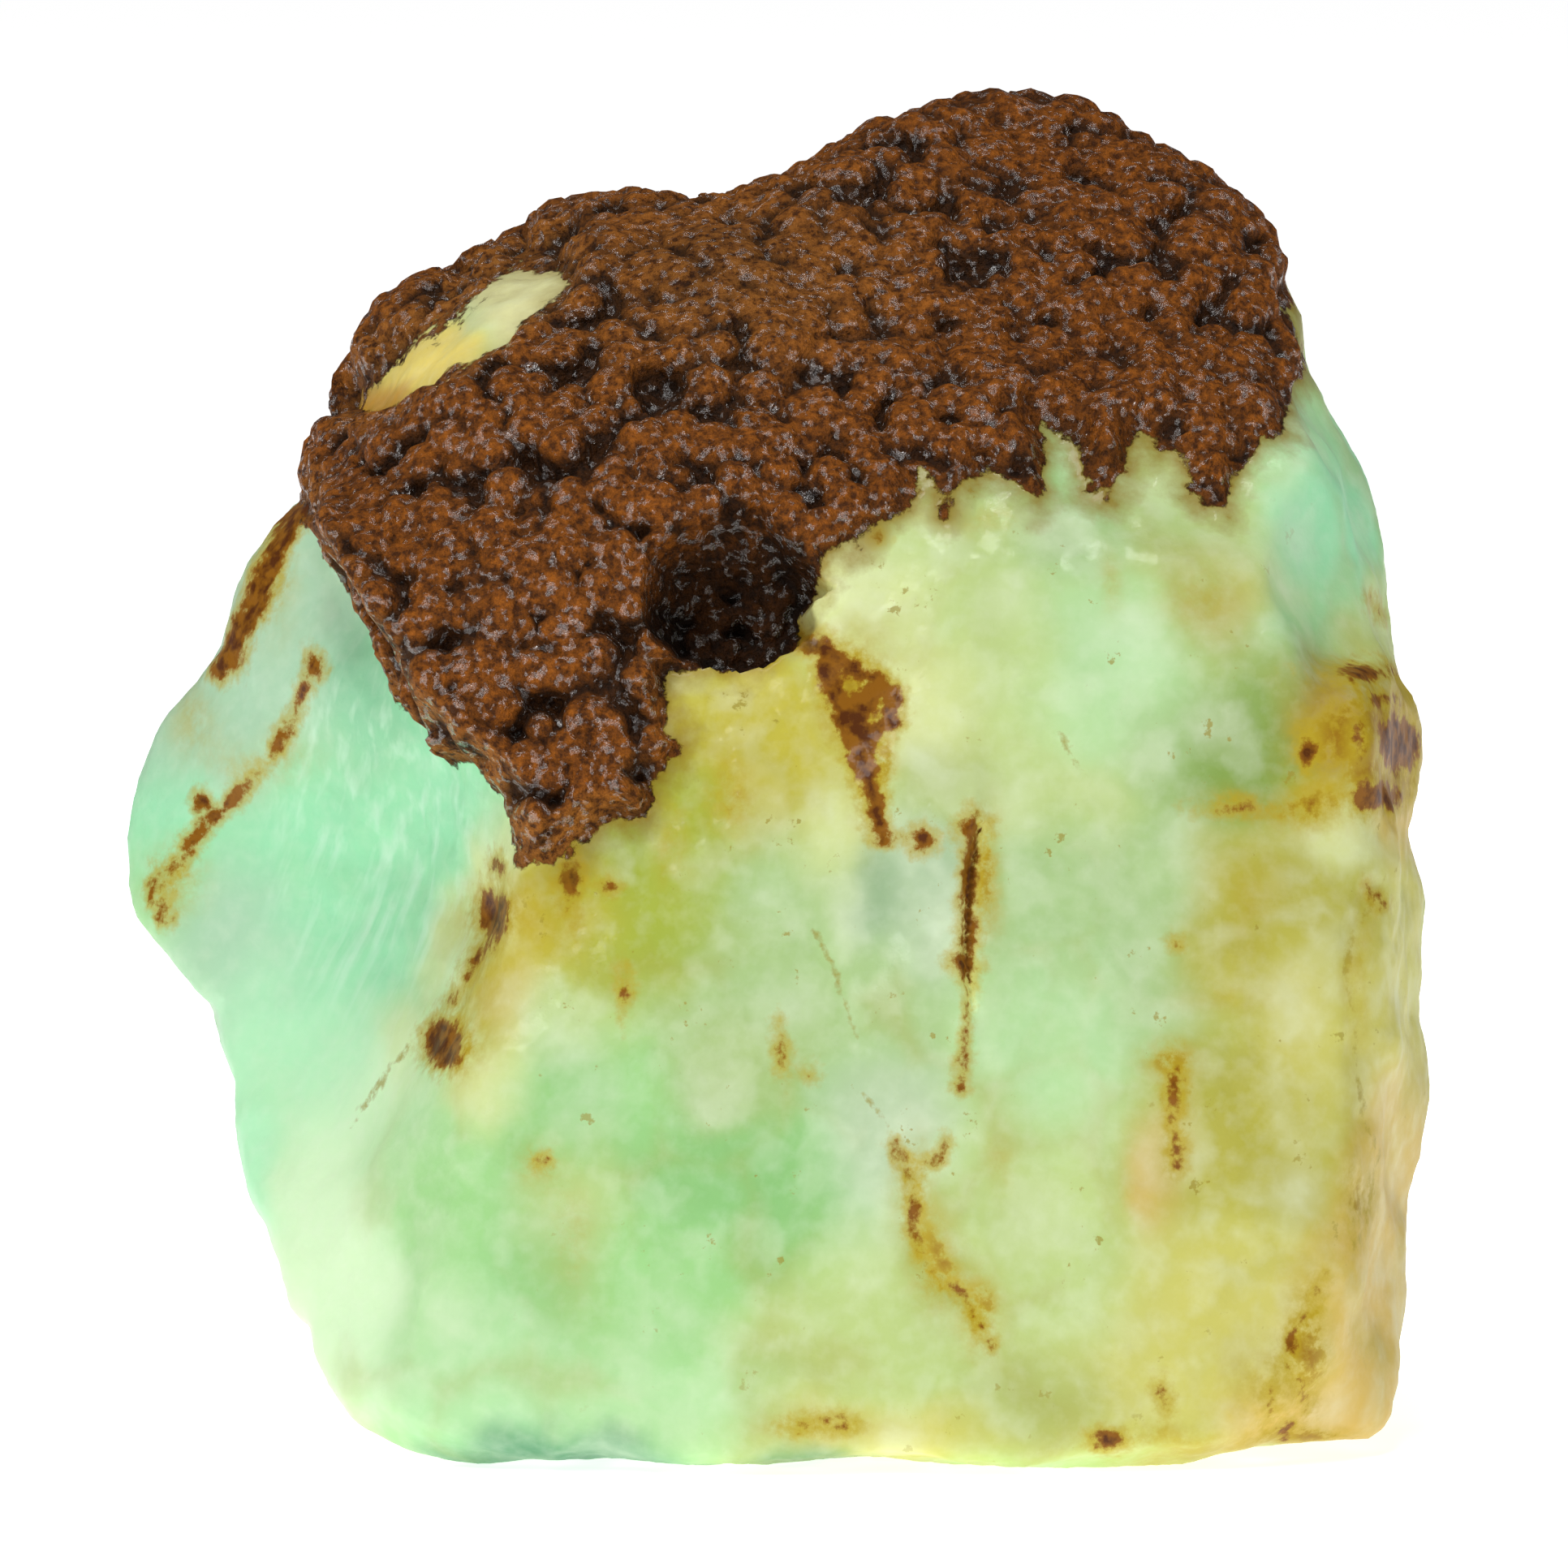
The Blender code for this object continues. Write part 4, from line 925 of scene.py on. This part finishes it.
freckles = add("ShaderNodeMapRange", {"Value": both, "From Min": 1.2, "From Max": 1.26, "To Max": 0.7})
freckles = add("ShaderNodeMath", {0: freckles, 1: may_freckle}, operation="MULTIPLY")
stone = add("ShaderNodeMix", {0: freckles, 6: stone, 7: OLIVE}, 2, data_type="RGBA")
line = add("ShaderNodeMapRange", {"Value": gold, "From Min": 0.86, "From Max": 0.66, "To Max": 0.7})
stone = add("ShaderNodeMix", {0: line, 6: stone, 7: OLIVE}, 2, data_type="RGBA")
patchy = add(
    "ShaderNodeMapRange",
    {"Value": both, "From Min": 0.8, "From Max": 1.2, "To Min": 1.0, "To Max": 0.3},
)
stained = add("ShaderNodeMath", {0: stain, 1: patchy}, operation="MULTIPLY")
amber_share = add("ShaderNodeMapRange", {"Value": stained, "From Max": 0.7, "To Max": 0.9})
stone = add("ShaderNodeMix", {0: amber_share, 6: stone, 7: AMBER}, 2, data_type="RGBA")
brown_share = add("ShaderNodeMapRange", {"Value": stained, "From Min": 0.55, "From Max": 1.1, "To Max": 0.85})
stone = add("ShaderNodeMix", {0: brown_share, 6: stone, 7: RUST_LIGHT}, 2, data_type="RGBA")
glow = add(
    "ShaderNodeMapRange", {"Value": rust, "From Min": 1.7, "From Max": 1.05, "To Max": 0.7},
    interpolation_type="SMOOTHSTEP",
)
stone = add("ShaderNodeMix", {0: glow, 6: stone, 7: AMBER}, 2, data_type="RGBA")
mottled = add("ShaderNodeMapRange", {"Value": speckle, "From Min": 0.42, "From Max": 0.58})
rust_core = add("ShaderNodeMapRange", {"Value": rust, "From Min": 1.0, "From Max": 0.7})
rust_core = add("ShaderNodeMath", {0: rust_core, 1: mottled}, operation="MULTIPLY")
rust_colour = add("ShaderNodeMix", {0: rust_core, 6: RUST_LIGHT, 7: RUST_DARK}, 2, data_type="RGBA")
rusty = add("ShaderNodeMapRange", {"Value": rust, "From Min": 1.15, "From Max": 0.95})
stone = add("ShaderNodeMix", {0: rusty, 6: stone, 7: rust_colour}, 2, data_type="RGBA")
print("nodes so far:", len(NODES.nodes))

# %% [markdown]
# The crust's brown follows its shape: worn orange-brown on the crests and on the side wall, and
# near black in the holes and pits, which is painted shade. Where it thins out over the stone,
# amber shows.

# %% Limonite: dark, lumpy, glossy on top
CRUST_GRAIN_SIZE = 0.45
CRUST_BROWN = linear("#4A2609")
CRUST_ORANGE = linear("#A05A16")
CRUST_SHADE_BLACK = linear("#120903")
CRUST_WORN = linear("#A86C2C")
FRINGE = linear("#8F741C")

crust_grain = add(
    "ShaderNodeTexNoise",
    {"Vector": places, "Scale": 1 / (CRUST_GRAIN_SIZE * MM), "Detail": 4.0, "Roughness": 0.7},
)
crest = add("ShaderNodeAttribute", {}, "Fac", attribute_name="crest")
pit = add("ShaderNodeAttribute", {}, "Fac", attribute_name="pit")
worn = add("ShaderNodeAttribute", {}, "Fac", attribute_name="worn")
from_edge = add("ShaderNodeAttribute", {}, "Fac", attribute_name="crust")
fringed = add("ShaderNodeAttribute", {}, "Fac", attribute_name="fringe")

orange = add("ShaderNodeMapRange", {"Value": crust_grain, "From Min": 0.38, "From Max": 0.66})
crust = add("ShaderNodeMix", {0: orange, 6: CRUST_BROWN, 7: CRUST_ORANGE}, 2, data_type="RGBA")
worn_share = add("ShaderNodeMath", {0: worn, 1: orange}, operation="MULTIPLY")
crust = add("ShaderNodeMix", {0: worn_share, 6: crust, 7: CRUST_WORN}, 2, data_type="RGBA")
# The lows of the fine relief turn towards near black: painted shade in the crust's holes.
low = add("ShaderNodeMapRange", {"Value": crest, "From Min": 0.32, "From Max": -0.15, "To Max": 0.85})
crust = add("ShaderNodeMix", {0: low, 6: crust, 7: CRUST_SHADE_BLACK}, 2, data_type="RGBA")
# The pits turn towards near black as well: painted shade inside them.
deep = add("ShaderNodeMapRange", {"Value": pit, "From Min": 0.1, "From Max": 0.6, "To Max": 0.85})
crust = add("ShaderNodeMix", {0: deep, 6: crust, 7: CRUST_SHADE_BLACK}, 2, data_type="RGBA")

edge = add("ShaderNodeMath", {0: ragged, 1: from_edge}, operation="ADD")
drips = add("ShaderNodeMath", {0: coarse, 1: COARSE_SHARE, 2: edge}, operation="MULTIPLY_ADD")
drips = add("ShaderNodeMapRange", {"Value": drips, "From Min": -0.4, "From Max": 1.0, "To Max": 0.9})
drips = add("ShaderNodeMath", {0: drips, 1: fringed}, operation="MULTIPLY")
stone = add("ShaderNodeMix", {0: drips, 6: stone, 7: FRINGE}, 2, data_type="RGBA")
is_crust = add("ShaderNodeMapRange", {"Value": edge, "From Min": 0.44, "From Max": 0.58})
colour = add("ShaderNodeMix", {0: is_crust, 6: stone, 7: crust}, 2, data_type="RGBA")
print("nodes so far:", len(NODES.nodes))

# %% [markdown]
# Wet-looking glints sit on the crust where goethite shows, whose IOR is well over 2, so they are
# a clear coat of high IOR whose weight is a fine noise. The stone has a thin, even coat for its
# waxy shine. Below the coats both are nearly matt, which keeps the brown dark and the green
# clean. Rust is opaque, as the crust is, so no light goes into either. A real glint is about a
# tenth of a millimetre across and would be lost, so the noise that draws them is coarser.

# %% Gloss, grain and depth
STONE_ROUGHNESS = 0.45
CRUST_ROUGHNESS = 0.6
QUARTZ_IOR = 1.54
BASE_SHINE = 0.12
GOETHITE_IOR = 2.2
GLINT_ROUGHNESS = 0.1
GLINT_SIZE = 0.5
STONE_COAT = 0.05
LIGHT_REACH = 2.0 * MM
SPECKLE_RISE = 0.05
GLINT_RISE = 0.3
GRAIN_RISE = 0.35

glint_noise = add("ShaderNodeTexNoise", {"Vector": places, "Scale": 1 / (GLINT_SIZE * MM), "Detail": 2.0})
glints = add("ShaderNodeMapRange", {"Value": glint_noise, "From Min": 0.54, "From Max": 0.6})
coat = add("ShaderNodeMix", {0: is_crust, 2: STONE_COAT, 3: glints})
roughness = add("ShaderNodeMix", {0: is_crust, 2: STONE_ROUGHNESS, 3: CRUST_ROUGHNESS})
stone_height = add("ShaderNodeMath", {0: speckle, 1: SPECKLE_RISE}, operation="MULTIPLY")
crust_height = add("ShaderNodeMath", {0: glint_noise, 1: GLINT_RISE}, operation="MULTIPLY")
crust_height = add(
    "ShaderNodeMath", {0: crust_grain, 1: GRAIN_RISE, 2: crust_height}, operation="MULTIPLY_ADD"
)
height = add("ShaderNodeMix", {0: is_crust, 2: stone_height, 3: crust_height})
surface = add("ShaderNodeBump", {"Height": height, "Distance": MM, "Strength": 1.0})
opaque = add("ShaderNodeMath", {0: is_crust, 1: rusty}, operation="MAXIMUM")
depth = add("ShaderNodeMath", {0: 1.0, 1: opaque}, operation="SUBTRACT")

LINKED = {
    "Base Color": colour, "Roughness": roughness, "Normal": surface, "Coat Normal": surface,
    "Coat Weight": coat, "Subsurface Weight": depth,
}
for socket, value in LINKED.items():
    NODES.links.new(value, SHADER.inputs[socket])
SHADER.subsurface_method = "BURLEY"
SHADER.inputs["IOR"].default_value = QUARTZ_IOR
SHADER.inputs["Specular IOR Level"].default_value = BASE_SHINE
SHADER.inputs["Coat IOR"].default_value = GOETHITE_IOR
SHADER.inputs["Coat Roughness"].default_value = GLINT_ROUGHNESS
SHADER.inputs["Subsurface Radius"].default_value = (1.0, 1.0, 0.8)
SHADER.inputs["Subsurface Scale"].default_value = LIGHT_REACH
STONE_MESH.materials.append(FINISH)
print("nodes in the finish:", len(NODES.nodes))

# %% Tie the stone to the frame
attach(STONE, "root")
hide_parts("chrysoprase")

# %% [markdown]
# ## Floor, light and camera
#
# The stone stands on a plain white floor under large soft lights, so the form reads from its own
# colour. The floor glows a little, like a light table, because brighter lamps would whiten the
# stone before the floor. The camera looks straight along the front view's own direction, from
# far away through a long lens, which keeps the perspective as flat as in a product photograph.

# %% Floor
FLOOR_SIDE = 12.0
FLOOR_GLOW = 0.75
bpy.ops.mesh.primitive_plane_add(size=FLOOR_SIDE, location=(0, 0, 0))
FLOOR = bpy.context.object
FLOOR.name = "floor"
PAPER = bpy.data.materials.new("white paper on a light table")
PAPER.use_nodes = True
PAPER_SHADER = PAPER.node_tree.nodes["Principled BSDF"]
PAPER_SHADER.inputs["Base Color"].default_value = linear("#F4F4F4")
PAPER_SHADER.inputs["Roughness"].default_value = 0.9
PAPER_SHADER.inputs["Specular IOR Level"].default_value = 0.0
PAPER_SHADER.inputs["Emission Color"].default_value = linear("#FFFFFF")
PAPER_SHADER.inputs["Emission Strength"].default_value = FLOOR_GLOW
FLOOR.data.materials.append(PAPER)
print("floor, m:", FLOOR_SIDE)

# %% Lights
LIGHTS = [
    ("window left", (-0.45, -0.55, 0.6), 0.3, 2.6),
    ("window right", (0.6, -0.45, 0.35), 0.4, 0.7),
    ("sky", (-0.05, -0.15, 0.8), 0.25, 2.8),
]
TARGET = Vector((0, 0, -BASE_LEVEL * MM))
for name, place, side, watts in LIGHTS:
    lamp = bpy.data.lights.new(name, "AREA")
    lamp.shape = "SQUARE"
    lamp.size = side
    lamp.energy = watts
    holder = bpy.data.objects.new(name, lamp)
    holder.location = place
    holder.rotation_euler = (TARGET - Vector(place)).to_track_quat("-Z", "Y").to_euler()
    holder.visible_camera = False
    bpy.context.scene.collection.objects.link(holder)
WORLD = bpy.data.worlds.new("pale room")
WORLD.use_nodes = True
WORLD.node_tree.nodes["Background"].inputs["Color"].default_value = linear("#FFFFFF")
WORLD.node_tree.nodes["Background"].inputs["Strength"].default_value = 0.1
bpy.context.scene.world = WORLD
bpy.context.scene.view_settings.view_transform = "Standard"
print("lights:", [light[0] for light in LIGHTS])

# %% Camera
VIEW_WIDTH = 71.5 * MM
VIEW_CENTRE = (0.5, -0.45, 0.0)
CAMERA_AWAY = 3.0
SENSOR = 36.0
tilt = math.radians(FRONT_TILT)
centre = Vector(stand_up(np.array([VIEW_CENTRE]))[0])
back = Vector((0, -math.cos(tilt), math.sin(tilt)))
EYE = bpy.data.cameras.new("front view")
EYE.sensor_width = SENSOR
EYE.lens = SENSOR * CAMERA_AWAY / VIEW_WIDTH
CAMERA = bpy.data.objects.new("front view", EYE)
CAMERA.location = centre + back * CAMERA_AWAY
CAMERA.rotation_euler = (-back).to_track_quat("-Z", "Y").to_euler()
bpy.context.scene.collection.objects.link(CAMERA)
bpy.context.scene.camera = CAMERA
print("lens, mm:", round(EYE.lens))
